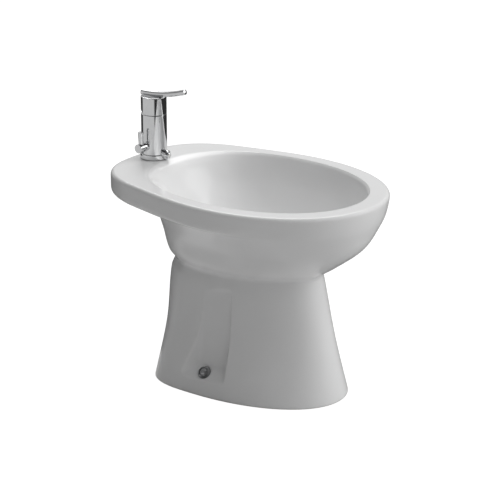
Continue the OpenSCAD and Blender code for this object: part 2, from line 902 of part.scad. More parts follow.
// ------------------------------------------------------------------ pop-up waste
waste_tube_r = 19.5;
waste_bore_r = 17;
tailpiece_neck_r = tailpiece_r - 0.3;
cam_z = 176;
cam_y = 10;
cam_arm = 10;
// Angle of the crank's arm above level with the plug up, and below level with it shut
cam_top_angle = 29.55;
cam_rest_angle = asin(plug_stroke / cam_arm - sin(cam_top_angle));
cam_pin_r = 2;
plug_foot_z = cam_z - cam_arm * sin(cam_rest_angle) + cam_pin_r + 0.2;
gland_bracket_z = 184;
gland_top_z = 190;

module on_drain_axis() {
    translate([0, drain_y, 0]) children();
}

module waste_flange() {
    color(chrome_grey)
        on_drain_axis()
            difference() {
                union() {
                    rod_z(waste_tube_r, 206, 249);
                    translate([0, 0, 248.2]) cylinder(r1 = 31.5, r2 = 30, h = 1.8);
                }
                rod_z(waste_bore_r, 205, 252);
                translate([0, 0, 246.5]) cylinder(r1 = waste_bore_r, r2 = 21, h = 4);
                for (a = [0 : 90 : 270])
                    rotate([0, 0, a]) rod_x(3.5, 14, 22, 0, 236);
            }
}

module waste_top_seal() {
    color(rubber_black) on_drain_axis() tube_z(31.5, waste_tube_r + 0.1, drain_seat_z, 248.2);
}

module waste_plug() {
    color(chrome_grey)
        on_drain_axis() {
            translate([0, 0, 248]) cylinder(r1 = 15.2, r2 = 19.4, h = 3.4);
            translate([0, 0, 251.4]) cylinder(r1 = 19.4, r2 = 16, h = 1.6);
            difference() {
                rod_z(15.2, 242, 248.5);
                rotate_extrude() translate([15.2, 245]) circle(r = 1.35);
            }
            rod_z(3, plug_foot_z, 243);
            rod_z(5, plug_foot_z, plug_foot_z + 4);
        }
}

module plug_seal() {
    color(rubber_black)
        on_drain_axis()
            difference() {
                rotate_extrude() translate([15.3, 245]) circle(r = 1.3);
                rod_z(13, 240, 250);
            }
}

module waste_body() {
    color(brass_yellow)
        on_drain_axis()
            difference() {
                union() {
                    rod_z(23.5, 150, 214);
                    rod_x(9, 12, 28, cam_y, cam_z);
                    translate([12, 8, gland_bracket_z]) cube([12, 20, 6]);
                    translate([18, 18, gland_bracket_z]) cube([21, 16, 6]);
                }
                rod_z(waste_bore_r, 149, 207);
                rod_z(waste_tube_r + 0.02, 206, 215);
                rod_x(5.5, 8, 30, cam_y, cam_z);
                rod_z(2, 180, 192, cable_end[0], cable_end[1] - drain_y);
            }
}

module waste_gasket() {
    color(rubber_black)
        on_drain_axis()
            difference() {
                translate([0, 0, 222]) cylinder(r1 = 31, r2 = 28, h = 6);
                rod_z(waste_tube_r + 0.05, 215, 230);
            }
}

module waste_washer() {
    color(steel_grey) on_drain_axis() tube_z(31, waste_tube_r + 0.3, 220.4, 222);
}

module waste_nut() {
    color(brass_yellow)
        on_drain_axis()
            difference() {
                hex_z(50, 214.4, 220.4);
                rod_z(waste_tube_r + 0.02, 210, 225);
            }
}

// Crank that lifts the plug: a pin under its stem, and an arm for the cable outside
module waste_cam() {
    color(steel_grey)
        on_drain_axis() {
            rod_x(3, 5.6, 38, cam_y, cam_z);
            rotate_about_x(cam_y, cam_z, cam_rest_angle) {
                translate([5.6, cam_y - cam_arm, cam_z - 1.8]) cube([3, cam_arm, 3.6]);
                rod_x(cam_pin_r, -3, 8.6, cam_y - cam_arm, cam_z);
            }
            translate([34.5, cam_y - 3, cam_z - 3]) cube([3, 24, 6]);
            rod_x(1.5, 30, 35, cam_y + 18, cam_z);
        }
}

module rotate_about_x(y, z, angle) {
    translate([0, y, z]) rotate([angle, 0, 0]) translate([0, -y, -z]) children();
}

module cam_gland() {
    color(brass_yellow)
        on_drain_axis()
            difference() {
                union() {
                    rod_x(5.45, 18, 28, cam_y, cam_z);
                    rod_x(8, 28, 32.5, cam_y, cam_z);
                }
                rod_x(3 + running_gap, 10, 40, cam_y, cam_z);
            }
}

module cable_gland_waste() {
    color(brass_yellow)
        on_drain_axis()
            tube_z(1.98, 1, 182, gland_top_z, cable_end[0], cable_end[1] - drain_y);
}

module tailpiece() {
    color(chrome_grey)
        on_drain_axis()
            difference() {
                union() {
                    rod_z(tailpiece_r, 92, 138);
                    rod_z(tailpiece_neck_r, 130, 158);
                }
                rod_z(14.4, 90, 160);
            }
}

module tailpiece_seal() {
    color(rubber_black)
        on_drain_axis()
            difference() {
                translate([0, 0, 146]) cylinder(r1 = 20, r2 = 18.4, h = 4);
                rod_z(tailpiece_neck_r + 0.02, 140, 155);
            }
}

module tailpiece_nut() {
    color(chrome_grey)
        on_drain_axis()
            difference() {
                union() {
                    hex_z(52, 144, 157);
                    rod_z(24, 140, 145);
                }
                rod_z(tailpiece_r + 0.4, 135, 146.5);
                rod_z(23.52, 146, 160);
            }
}

module overflow_ring() {
    color(chrome_grey)
        on_overflow()
            difference() {
                union() {
                    rod_z(overflow_r - 0.1, -12, 0);
                    rod_z(overflow_flange_r, -1, 0.8);
                }
                rod_z(overflow_r - 2.5, -13, 2);
            }
}

ceramic_body();
floor_bracket_left();
floor_bracket_right();
side_screws();
screw_cups();
screw_bushes();
bracket_nuts();
mixer_body();
base_ring();
base_seal();
deck_gasket();
clamp_plate();
fixing_stud();
fixing_nut();
cartridge_base();
cartridge_seals();
fixed_disc();
moving_disc();
cartridge_housing();
cartridge_nut();
cartridge_swivel();
stem_pin();
cartridge_stem();
lever_handle();
handle_screw();
temperature_plug();
spout_ring();
ball_seat();
spout_ball();
aerator_insert();
popup_bushing();
popup_lever();
cable_gland_mixer();
control_cable();
cable_gland_waste();
waste_flange();
waste_top_seal();
waste_plug();
plug_seal();
waste_body();
waste_gasket();
waste_washer();
waste_nut();
waste_cam();
cam_gland();
tailpiece();
tailpiece_seal();
tailpiece_nut();
overflow_ring();
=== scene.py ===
import bmesh
import bpy
import numpy as np
from mathutils import Matrix


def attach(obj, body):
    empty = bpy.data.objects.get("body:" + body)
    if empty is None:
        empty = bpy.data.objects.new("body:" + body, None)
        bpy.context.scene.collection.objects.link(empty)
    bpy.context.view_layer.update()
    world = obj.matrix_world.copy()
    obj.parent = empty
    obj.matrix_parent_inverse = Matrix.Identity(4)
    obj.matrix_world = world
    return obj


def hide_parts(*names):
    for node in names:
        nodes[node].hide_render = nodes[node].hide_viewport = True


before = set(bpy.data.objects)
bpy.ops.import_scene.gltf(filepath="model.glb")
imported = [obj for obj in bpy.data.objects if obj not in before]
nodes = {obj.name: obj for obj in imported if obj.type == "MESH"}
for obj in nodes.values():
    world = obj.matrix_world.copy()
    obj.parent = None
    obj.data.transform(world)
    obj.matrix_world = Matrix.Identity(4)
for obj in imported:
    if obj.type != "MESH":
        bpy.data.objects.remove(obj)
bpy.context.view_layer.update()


# ---- camera
# A long lens, 4.3 m away at the front left and a little above the rim, looking at
# the upper part of the pedestal, as the object was photographed.
def axes_at(backward, spot):
    """Matrix of a thing at the spot, whose Z axis points backward and X axis is level."""
    z = np.array(backward) / np.linalg.norm(backward)
    x = np.cross([0.0, 0.0, 1.0], z)
    x /= np.linalg.norm(x)
    y = np.cross(z, x)
    return Matrix([[x[i], y[i], z[i], spot[i]] for i in range(3)] + [[0, 0, 0, 1]])


backward = np.array([-0.74610, -0.57970, 0.32770])
backward /= np.linalg.norm(backward)
looks_at, distance = np.array([0.0373, 0.0318, 0.2362]), 4.320
lens = bpy.data.cameras.new("studio_camera")
lens.lens, lens.sensor_width, lens.clip_end = 165.6, 36.0, 60.0
camera = bpy.data.objects.new("studio_camera", lens)
camera.matrix_world = axes_at(backward, looks_at + distance * backward)
bpy.context.scene.collection.objects.link(camera)
bpy.context.scene.camera = camera
bpy.context.scene.view_settings.view_transform = "Standard"


# ---- studio floor
# A white seamless floor. It is white to the camera, keeps the soft shadow under the foot, and
# returns some light to the underside of the bowl. To reflections only, the floor glows: a painted
# reflection in the chrome, light on the left and dark beyond its edge.
def tidy_edges(piece, degrees=35):
    """Shades a piece smoothly, with its edges past the angle kept crisp."""
    piece.data.polygons.foreach_set("use_smooth", np.ones(len(piece.data.polygons), bool))
    piece.data.set_sharp_from_angle(angle=np.radians(degrees))


def make_piece(name, points, faces, sharp_deg=35):
    """Mesh object from an array of points and a list of corner numbers per face.
    Points closer than a thousandth of a millimetre are merged, so that poles and seams
    are closed, the faces are turned outwards, and edges past sharp_deg stay crisp."""
    mesh = bpy.data.meshes.new(name)
    mesh.from_pydata(np.asarray(points, float).tolist(), [], faces)
    work = bmesh.new()
    work.from_mesh(mesh)
    bmesh.ops.remove_doubles(work, verts=work.verts, dist=1e-6)
    bmesh.ops.dissolve_degenerate(work, edges=work.edges, dist=1e-7)
    bmesh.ops.recalc_face_normals(work, faces=work.faces)
    work.to_mesh(mesh)
    work.free()
    piece = bpy.data.objects.new(name, mesh)
    tidy_edges(piece, sharp_deg)
    bpy.context.scene.collection.objects.link(piece)
    return piece


def new_material(name):
    """Empty node material, its node tree and its output node."""
    material = bpy.data.materials.new(name)
    material.use_nodes = True
    tree = material.node_tree
    tree.nodes.clear()
    return material, tree, tree.nodes.new("ShaderNodeOutputMaterial")


def feed(tree, node, inputs):
    """Gives a node's inputs, by name or number, a value, another node or its output."""
    for slot, value in inputs.items():
        value = value.outputs[0] if isinstance(value, bpy.types.Node) else value
        if isinstance(value, bpy.types.NodeSocket):
            tree.links.new(value, node.inputs[slot])
        else:
            node.inputs[slot].default_value = value
    return node


def add(tree, kind, inputs=None, operation=None):
    """New node of a kind, with its operation and its inputs."""
    node = tree.nodes.new("ShaderNode" + kind)
    if operation:
        node.operation = operation
    return feed(tree, node, inputs or {})


def between(tree, value, low, high, out_low=0.0, out_high=1.0, steps="LINEAR"):
    """Value brought from low..high to out_low..out_high, and held there."""
    node = add(tree, "MapRange", {"Value": value, "From Min": low, "From Max": high,
                                  "To Min": out_low, "To Max": out_high})
    node.interpolation_type = steps
    return node.outputs[0]


def object_place(tree):
    """Place of a point in the object's own coordinates."""
    return add(tree, "TexCoord").outputs["Object"]


corners = np.array([(-14, -14, -0.0004), (14, -14, -0.0004), (14, 14, -0.0004),
                    (-14, 14, -0.0004)])
floor = make_piece("studio_floor", corners, [(0, 1, 2, 3)])
floor_material, tree, out = new_material("white_floor")
under_tap, toward_painted_reflection = (0, 0.232, 0), (-0.966, 0.259, 0)
from_tap = add(tree, "VectorMath", {0: object_place(tree), 1: under_tap}, "SUBTRACT")
one_long = add(tree, "VectorMath", {0: from_tap}, "NORMALIZE")
leftward = add(tree, "VectorMath", {0: one_long, 1: toward_painted_reflection}, "DOT_PRODUCT")
# painted reflection: a glow seen only in reflections, strong on the floor left of the tap and faint
# beyond
painted_reflection_glow = between(tree, leftward.outputs["Value"], 0.42, 0.60, 0.035, 0.62, "SMOOTHSTEP")
seen = add(tree, "LightPath")
paint = add(tree, "BsdfDiffuse", {"Color": (0.72, 0.72, 0.72, 1)})
painted_reflection = add(tree, "Emission", {"Strength": painted_reflection_glow})
glow = add(tree, "Emission", {"Strength": 1.2})
mirrored = add(tree, "MixShader", {0: seen.outputs["Is Glossy Ray"], 1: paint, 2: painted_reflection})
glow_share = add(tree, "Math", {0: seen.outputs["Is Camera Ray"], 1: 0.82}, "MULTIPLY")
lift = add(tree, "MixShader", {0: glow_share, 1: mirrored, 2: glow})
feed(tree, out, {"Surface": lift})
floor.data.materials.append(floor_material)

# Soft studio light: a broad lamp at the right, one above and behind, and a dim room that
# is white to the camera only. A row gives a way to look, the range over which that side
# of the room fades in, the light it adds, and how light it shows in the chrome.
world = bpy.data.worlds.new("studio_room")
bpy.context.scene.world = world
world.use_nodes = True
tree = world.node_tree
tree.nodes.clear()
look = add(tree, "TexCoord").outputs["Generated"]
levels = [0.0, 0.0]
for toward, fade_from, fade_to, *amounts in (
    ((0, 0, 1), -1.1, -1.0, 0.02, 0.05),
    ((0, 0, 1), 0.60, 1.0, 0.92, 0),
    ((0.1, -0.75, 0.65), 0.60, 0.95, 0.84, 0),
    ((0.80, -0.58, 0.1), 0.60, 0.97, 0.60, 0),
    ((-0.94, 0.34, 0), 0.62, 0.78, 0, 0.60),
    ((0.40, -0.90, 0.1), 0.55, 0.95, 0, 0.08),
    ((0.75, 0.60, 0.25), 0.20, 0.90, 0, 0.20),
    ((0.45, 0.38, 0.81), 0.55, 0.95, 0, 0.50),
):
    facing = add(tree, "VectorMath", {0: look, 1: toward}, "DOT_PRODUCT").outputs["Value"]
    for k, amount in enumerate(amounts):
        fade = between(tree, facing, fade_from, fade_to, 0.0, amount, "SMOOTHSTEP")
        levels[k] = add(tree, "Math", {0: levels[k], 1: fade}, "ADD")
lit, in_chrome = (add(tree, "Background", {"Strength": level}) for level in levels)
white = add(tree, "Background", {"Color": (1, 1, 1, 1)})
seen = add(tree, "LightPath")
shown = add(tree, "MixShader", {0: seen.outputs["Is Glossy Ray"], 1: lit, 2: in_chrome})
shown = add(tree, "MixShader", {0: seen.outputs["Is Camera Ray"], 1: shown, 2: white})
add(tree, "OutputWorld", {"Surface": shown})

lamps_aim_at = np.array([0.0, 0.0, 0.25])
for name, spot, size, power in (
    ("right_lamp", (2.20, -2.75, 2.05), 2.2, 38.0),
    ("rear_top_lamp", (1.75, 1.65, 3.10), 2.4, 58.0),
):
    lamp = bpy.data.lights.new(name, "AREA")
    lamp.shape, lamp.size, lamp.energy = "SQUARE", size, power
    holder = bpy.data.objects.new(name, lamp)
    holder.matrix_world = axes_at(np.array(spot) - lamps_aim_at, spot)
    bpy.context.scene.collection.objects.link(holder)


# ---- ceramic body
# Bowl, rim, tap deck and pedestal are one casting of vitreous china, glazed all over
# and fired. The outline is an egg with a square rear end; the wall is 10 mm thick.
mm = 0.001
half_width, half_length, rim_z, apron_z, waist_z = 192.5, 272.5, 390.0, 348.0, 232.0
drain_y, drain_hole, drain_seat = 10.0, 23.0, 247.0
wall, rim_round, foot_edge = 10.0, 7, 3.4
round_from = 383  # rim_z less rim_round
# a section: half width, front y, rear y, widest y, front power, rear power, deck taper
waist = (98, -150, 158, 36, 2.1, 1.9, 0)
rim_section = np.array([half_width, -half_length, half_length, -20, 2.1, 3.0, 0.09])
belly_keys = {
    apron_z - 2: (184, -266, 166.5, -12, 2.1, 2.05, 0),
    298: (142.5, -240, 163, 7, 2.1, 2.3, 0),
    255: (121.5, -186, 157, 17, 2.1, 2.35, 0),
    waist_z: waist,
}
pedestal_keys = {
    waist_z: waist,
    208: (100, -156, 163.5, 36, 2.1, 2.2, 0),
    110: (106, -179, 162, 36, 2.1, 2.8, 0),
    0: (136, -204, 170, 36, 2.1, 3.3, 0),
}
basin_keys = {
    390: (162, -237, 202, -20, 2.05, 2.2, 0),
    386: (158, -233, 186, -20, 2.05, 2.3, 0),
    376: (154, -230, 170, -20, 2.1, 2.4, 0),
    335: (139, -212, 142, -18, 2.1, 2.4, 0),
    288: (104, -156, 102, -10, 2.1, 2.2, 0),
    262: (62, -76, 68, 2, 2, 2, 0),
    250: (36, drain_y - 36, drain_y + 36, drain_y, 2, 2, 0),
}
# columns of points: the side's run from side_from to side_to, and crowd round crowd_y,
# the front edge of the pocket
front_columns, side_columns, rear_columns = 40, 84, 30
side_from, side_to, crowd_y, crowd_width, crowd_shift = -75.0, 112.0, -27, 26, 3.2


def sections_at(keys, heights):
    """Sections at the heights, on the smooth curve through the key sections: between two
    keys a cubic whose slope at a key is that of the line through its neighbours."""
    z = np.array(list(keys), float)
    s = np.array(list(keys.values()), float)
    slope = np.empty_like(s)
    slope[1:-1] = (s[2:] - s[:-2]) / (z[2:] - z[:-2])[:, None]
    slope[0] = (s[1] - s[0]) / (z[1] - z[0])
    slope[-1] = (s[-1] - s[-2]) / (z[-1] - z[-2])
    h = np.atleast_1d(np.asarray(heights, float))
    i = np.clip(np.searchsorted(-z, -h, side="left") - 1, 0, len(z) - 2)
    step = (z[i + 1] - z[i])[:, None]
    t = (h - z[i])[:, None] / step
    return (s[i] * (2 * t**3 - 3 * t**2 + 1) + slope[i] * step * (t**3 - 2 * t**2 + t)
            + s[i + 1] * (3 * t**2 - 2 * t**3) + slope[i + 1] * step * (t**3 - t**2))


def inset(sections, depth):
    """The sections drawn in by depth all round."""
    d = np.asarray(depth, float).reshape(-1, 1)
    return np.asarray(sections, float) + d * np.array([-1.0, 1, -1, 0, 0, 0, 0])


def rings(sections, heights, bunch):
    """One ring of points per section. With a, b the half axes and n the power, a point at
    angle t lies at radius (|cos t / a|^n + |sin t / b|^n)^(-1/n) from the widest place; the
    deck narrows by its taper towards the rear. bunch says, from 0 to 1, how far the
    columns keep to equal steps in y along the side instead of equal steps in angle."""
    s = np.atleast_2d(sections).astype(float)
    z = np.broadcast_to(np.asarray(heights, float), len(s))
    a, front, rear, mid, n_front, n_rear, taper = (s[:, k:k + 1] for k in range(7))

    def angle_of(y):
        b = np.where(y > mid, rear - mid, mid - front)
        n = np.where(y > mid, n_rear, n_front)
        u = np.clip(np.abs((y - mid) / b), 0, 0.985)
        return np.arctan2(y - mid, a * (1 - u**n) ** (1 / n))

    low, high = angle_of(np.float64(side_from)), angle_of(np.float64(side_to))
    quarter = np.pi / 2
    ease = np.linspace(0, 1, front_columns, endpoint=False)
    y = np.linspace(side_from, side_to, side_columns, endpoint=False)
    u = (y - crowd_y) / crowd_width
    y = y - crowd_shift * np.exp(-u**2) * np.sin(u * np.pi)
    t_kept = np.hstack([
        -quarter + (low + quarter) * ease,
        angle_of(y[None, :]),
        high + (quarter - high) * np.linspace(0, 1, rear_columns + 1),
    ])
    count = t_kept.shape[1]
    t_even = np.linspace(-quarter, quarter, count)[None, :]
    w = np.broadcast_to(np.asarray(bunch, float), len(s))[:, None]
    t = w * t_kept + (1 - w) * t_even
    t = np.hstack([t, np.pi - t[:, -2:0:-1]])
    b = np.where(np.sin(t) > 0, rear - mid, mid - front)
    n = np.where(np.sin(t) > 0, n_rear, n_front)
    r = (np.abs(np.cos(t) / a) ** n + np.abs(np.sin(t) / b) ** n) ** (-1 / n)
    u = np.clip(r * np.sin(t) / b / 0.6, 0, 1)
    narrow = np.where(np.sin(t) > 0, taper * u * u * (3 - 2 * u), 0)
    return np.stack([r * np.cos(t) * (1 - narrow), mid + r * np.sin(t),
                     np.broadcast_to(z[:, None], t.shape)], axis=-1)


def soft_min(p, q, reach):
    """Lesser of p and q, rounded over where they are within reach of each other."""
    return 0.5 * (p + q - np.sqrt((p - q) ** 2 + reach**2))


def plane_x(corners):
    """Function (y, z) -> x of the plane through three corners (x, y, z)."""
    p, q, r = (np.array(c, float) for c in corners)
    n = np.cross(q - p, r - p)
    return lambda y, z: p[0] - (n[1] * (y - p[1]) + n[2] * (z - p[2])) / n[0]


# Pocket in each side of the pedestal, through which the fixing screw is reached. Its floor
# leans in towards the top, and from its foot a ledge, square to the screw, falls outwards.
# Its planes are the floor and the four walls, above, behind, below and in front.
fix_x, fix_y, fix_z, fix_tilt = 114.0, 21.0, 39.0, np.radians(50)
ledge = fix_z + fix_x / np.tan(fix_tilt)
floor_x, floor_yaw, floor_lean = 101, 0.12, 0.02


def pocket_floor(y, z):
    """The floor's x at a place."""
    return floor_x + floor_yaw * (y - fix_y) - floor_lean * (z - fix_z)


floor_pts = [(pocket_floor(y, z), y, z) for y, z in ((-28, 208), (28, 200))]
for y in (43, -25):
    x = pocket_floor(y, ledge) / (1 - floor_lean / np.tan(fix_tilt))
    floor_pts.append((x, y, ledge - x / np.tan(fix_tilt)))
mouth_pts = [(160.0, y, z) for y, z in ((-40, 214), (104, 204), (112, 0.4), (-38, 0.4))]
pocket_planes = [pocket_floor]
for k in range(4):
    j = (k + 1) % 4
    middle = (np.array(mouth_pts[k]) + np.array(mouth_pts[j])) / 2
    pocket_planes.append(plane_x((floor_pts[k], floor_pts[j], middle)))
pocket_rounding, mouth_rounding, pocket_top = (3.0, 6.0, 2.0, 5.0, 3.0), 1.4, 226


def press_pocket(ring_points, behind=0.0):
    """Moves the skin in along x to the pocket's surface. A point's depth inside a plane
    is (x - plane(y, z)) / sqrt(1 + b^2 + c^2), with b and c the plane's slopes. The least
    depth is the pocket's, rounded over in its corners, and the skin is where it is nought,
    rounded over along its mouth. x is found by halving. The inner skin keeps behind it."""
    x, y, z = (ring_points[..., k] for k in range(3))
    side = np.abs(x)
    low, high = side - 45.0, side + 1.0
    scales = [np.sqrt(1 + (p(1, 0) - p(0, 0)) ** 2 + (p(0, 1) - p(0, 0)) ** 2)
              for p in pocket_planes]
    for step in range(22):
        middle = (low + high) / 2
        depth = 50.0
        for plane, scale, reach in zip(pocket_planes, scales, pocket_rounding):
            depth = soft_min(depth, (middle + behind - plane(y, z)) / scale, reach)
        outside = -soft_min(side - middle, -depth, mouth_rounding) > 0
        high, low = np.where(outside, middle, high), np.where(outside, low, middle)
    pressed = np.where(z > pocket_top, side, (low + high) / 2)
    shape = ring_points.copy()
    shape[..., 0] = np.sign(x) * np.minimum(side, pressed)
    return shape


def skin_sections(z):
    """The outer skin's sections: the pedestal's up to the waist, the belly's above it."""
    return np.where((z <= waist_z)[:, None],
                    sections_at(pedestal_keys, np.minimum(z, waist_z)),
                    sections_at(belly_keys, np.maximum(z, waist_z)))


# Outer skin from the foot to the apron. The crease at the waist is rounded by averaging the
# sections over the heights around it, weighted by a bell curve 3.6 mm wide.
fine_step, reach, bell, waist_reach = 0.5, 20, 3.6, 9
fine_z = np.arange(0, apron_z - 1.9, fine_step)
fine = skin_sections(fine_z)
weight = np.exp(-(np.arange(-reach, reach + 1) * fine_step / bell) ** 2 / 2)
weight /= weight.sum()
padded = np.vstack([fine[:1].repeat(reach, 0), fine, fine[-1:].repeat(reach, 0)])
blurred = np.stack([np.convolve(padded[:, k], weight, "valid") for k in range(7)], 1)
near_waist = np.exp(-((fine_z - waist_z) / waist_reach) ** 4)[:, None]
fine = fine + (blurred - fine) * near_waist
skin_z = np.concatenate([
    [0.0, 0.35, 1.0, 2.0, foot_edge], np.arange(6, 16, 2.5), np.arange(16, 62, 2.0),
    np.arange(62, 190, 3.2), np.arange(190, 222, 2.5), np.arange(222, 243, 1.0),
    np.arange(243, 338, 3.2), [338.0, 341.0, 343.5, 345.2],
])
up_edge = np.minimum(skin_z, foot_edge) / foot_edge
foot_round = foot_edge * (1 - np.sqrt(np.clip(1 - (1 - up_edge) ** 2, 0, 1)))
skin = np.stack([np.interp(skin_z, fine_z, fine[:, k]) for k in range(7)], 1)
bunch = 1 - np.clip((skin_z - waist_z) / (apron_z - waist_z), 0, 1)
skin = press_pocket(rings(inset(skin, foot_round), skin_z, bunch))

# Apron and rim. The sides and rear stand out from the belly over a rounded lower edge; that
# step fades out towards the front, which runs on smoothly into the belly. A row gives a
# height and how far the sides, the front and the rear draw in there.
turn = np.radians(np.linspace(0, 90, 9))
apron_draw = np.array([
    (346.2, 8.4, 6.4, 24), (346.7, 7.8, 6.3, 18), (347.6, 6.3, 6.1, 12.5), (348.8, 4.5, 5.8, 8.4),
    (350.4, 2.8, 5.5, 5.2), (352.6, 1.4, 5.1, 2.7), (355.4, 0.5, 4.6, 1.0), (359, 0.1, 3.9, 0.2),
    (363, 0, 3.1, 0), (368, 0, 2.2, 0), (373, 0, 1.4, 0), (378, 0, 0.6, 0),
])
step_whole_y, step_gone_y, draw_height = -80, -200, 36.8
drawn = np.array([[-1.0, 0, 0, 0, 0, 0, 0], [0, 1, 0, 0, 0, 0, 0], [0, 0, -1, 0, 0, 0, 0]])
even_draw = ((round_from - apron_draw[:, :1]) / draw_height) ** 1.35 * apron_draw[0, 1:]
stepped = rings(rim_section + apron_draw[:, 1:] @ drawn, apron_draw[:, 0], 0.0)
smooth = rings(rim_section + even_draw @ drawn, apron_draw[:, 0], 0.0)
fade = np.clip((step_whole_y - stepped[..., 1:2]) / (step_whole_y - step_gone_y), 0, 1)
fade = fade * fade * (3 - 2 * fade)
upper = rings(inset(rim_section, rim_round * (1 - np.cos(turn))),
              round_from + rim_round * np.sin(turn), 0.0)
edge = np.concatenate([stepped + (smooth - stepped) * fade, upper])

# There the bend between belly and apron is also spread out in height: each ring's x and y
# become the average over the heights around it, weighted by a bell curve 8 mm wide.
bell, bend_z, bend_reach, spread_from_y, spread_whole_y = 8, 347, 24, -60, -170
outer = np.concatenate([skin, edge])
height = outer[:, 0, 2]
spread = np.exp(-((height[:, None] - height) / bell) ** 2 / 2) * np.gradient(height)
spread /= spread.sum(1, keepdims=True)
evened = np.einsum("ij,jkl->ikl", spread, outer[..., :2])
share = np.clip((spread_from_y - outer[..., 1]) / (spread_from_y - spread_whole_y), 0, 1)
share = share * np.exp(-((height - bend_z) / bend_reach) ** 4)[:, None]
outer[..., :2] += (evened - outer[..., :2]) * share[..., None]
skin, edge = outer[:len(skin)], outer[len(skin):]

# Flat of the deck and rim, then the basin down to the waste
inner_edge = sections_at(basin_keys, 390)[0]
across = np.linspace(0, 1, 9)[1:-1, None, None]
outer_ring = edge[-1][None]
flat = outer_ring + (rings(inner_edge, rim_z, 0.0) - outer_ring) * across
basin_z = np.concatenate([[390, 389.6, 389, 388.2, 387.2, 386, 384.6, 383, 381, 378.5],
                          np.arange(376, 300, -4.0), np.arange(300, 262, -2.2),
                          np.arange(262, 250, -1.2), [250.0]])
basin = rings(sections_at(basin_keys, basin_z), basin_z, 0.0)


def round_ring(radius, z):
    """Ring round the waste."""
    return rings([[radius, drain_y - radius, drain_y + radius, drain_y, 2, 2, 0]], z, 0.0)


waste_seat = np.concatenate([round_ring(r, z) for r, z in (
    (34.2, 249.4), (33.2, 248.9), (33.0, 248.3), (33.0, drain_seat), (28.0, drain_seat),
    (drain_hole + 0.6, drain_seat), (drain_hole, drain_seat - 0.6), (drain_hole, 240.0),
    (drain_hole, 228.6), (drain_hole + 0.6, 228.0), (28.0, 228.0), (33.2, 228.0),
    (34.0, 228.8), (34.0, 238.0),
)])

# Underside of the basin and inner skin of the pedestal, as rough castings. The wall is
# thicker just above the waist's crease.
basin_wall, crease_z, crease_wall = 12.0, 243, 16.0
under_z = np.array([244, 250, 262, 280, 300, 322, 338.0])
under = inset(sections_at(basin_keys, np.minimum(under_z + 4, 342)), -basin_wall)
under[:, 2] = np.minimum(under[:, 2], 151.0)
under[0] = (42, drain_y - 42, drain_y + 42, drain_y, 2, 2, 0)
under = rings(under, under_z, 0.0)
ceiling = rings([[155.5, -240.5, 152.5, -18, 2.1, 2.4, 0]], 349.0, 0.0)
inner_z = np.concatenate([[338, 318, 290, 262, crease_z], np.arange(226, -1, -9.0), [0.0]])
thickness = np.where(inner_z == crease_z, crease_wall, wall)
inner = rings(inset(skin_sections(inner_z), thickness), inner_z, (inner_z < waist_z) * 1.0)
inner = press_pocket(inner, wall + 1)

body = np.concatenate([skin, edge, flat, basin, waste_seat, under, ceiling, inner]) * mm


def grid_faces(rows, columns, wrap_rows=False):
    """List of four corner numbers per face of a grid whose columns run round and, if asked,
    whose last row joins its first."""
    i, j = np.meshgrid(np.arange(rows if wrap_rows else rows - 1), np.arange(columns),
                       indexing="ij")
    down, next_j = (i + 1) % rows, (j + 1) % columns
    return np.stack([i * columns + j, i * columns + next_j,
                     down * columns + next_j, down * columns + j], -1).reshape(-1, 4).tolist()


china_crisp = 42
ceramic = make_piece("china_body", body.reshape(-1, 3),
                     grid_faces(*body.shape[:2], wrap_rows=True), china_crisp)


def cut(piece, tool, operation="DIFFERENCE"):
    """Cuts the tool's solid out of the piece, or joins it on, and removes the tool."""
    step = piece.modifiers.new("cut", "BOOLEAN")
    step.operation, step.solver, step.object = operation, "EXACT", tool
    done = bpy.data.meshes.new_from_object(
        piece.evaluated_get(bpy.context.evaluated_depsgraph_get()))
    piece.modifiers.clear()
    piece.data = done
    bpy.data.objects.remove(tool)


def prism(name, outline, low, high, axis):
    """Closed prism: a plan outline of two coordinates carried along the third axis."""
    plan = np.asarray(outline, float) * mm
    count = len(plan)
    faces = [[k, (k + 1) % count, count + (k + 1) % count, count + k] for k in range(count)]
    faces += [list(range(count)), list(range(2 * count - 1, count - 1, -1))]
    ends = [np.insert(plan, axis, level * mm, axis=1) for level in (low, high)]
    return make_piece(name, np.vstack(ends), faces)


# Openings: the arch for pipes at the back, the recess under the deck, the tap hole,
# the overflow and its duct in the front wall, and the two screw holes
def lathe(name, profile, sides=64, start=(0, 0, 0), tilt=np.eye(3)):
    """Turned piece. profile is a row of (radius, height) in millimetres; the point at
    angle t round the axis is (radius cos t, radius sin t, height). tilt is a 3 by 3
    turning matrix for the axis, and start the place of the axis' foot."""
    shape = np.asarray(profile, float)
    t = np.linspace(0, 2 * np.pi, sides, endpoint=False)
    points = np.stack([shape[:, :1] * np.cos(t), shape[:, :1] * np.sin(t),
                       np.broadcast_to(shape[:, 1:], (len(shape), sides))], -1)
    points = (points @ np.asarray(tilt, float).T + np.asarray(start, float)) * mm
    closed = shape[0, 0] > 1e-6
    return make_piece(name, points.reshape(-1, 3), grid_faces(len(shape), sides, closed))


def rod(radius, low, high):
    """Profile of a plain cylinder."""
    return [(0, low), (radius, low), (radius, high), (0, high)]


def about_x(angle):
    """Turning matrix about the X axis."""
    return np.array([[1, 0, 0], [0, np.cos(angle), -np.sin(angle)],
                     [0, np.sin(angle), np.cos(angle)]])


def at_screw(sign):
    """Place and turning matrix of the fixing screw: sign is -1 left and 1 right."""
    to_screw = np.array([[np.sin(fix_tilt), 0, np.cos(fix_tilt)], [0, 1, 0],
                         [-np.cos(fix_tilt), 0, np.sin(fix_tilt)]])
    return (sign * fix_x, fix_y, fix_z), to_screw * np.array([[sign], [sign], [1]])


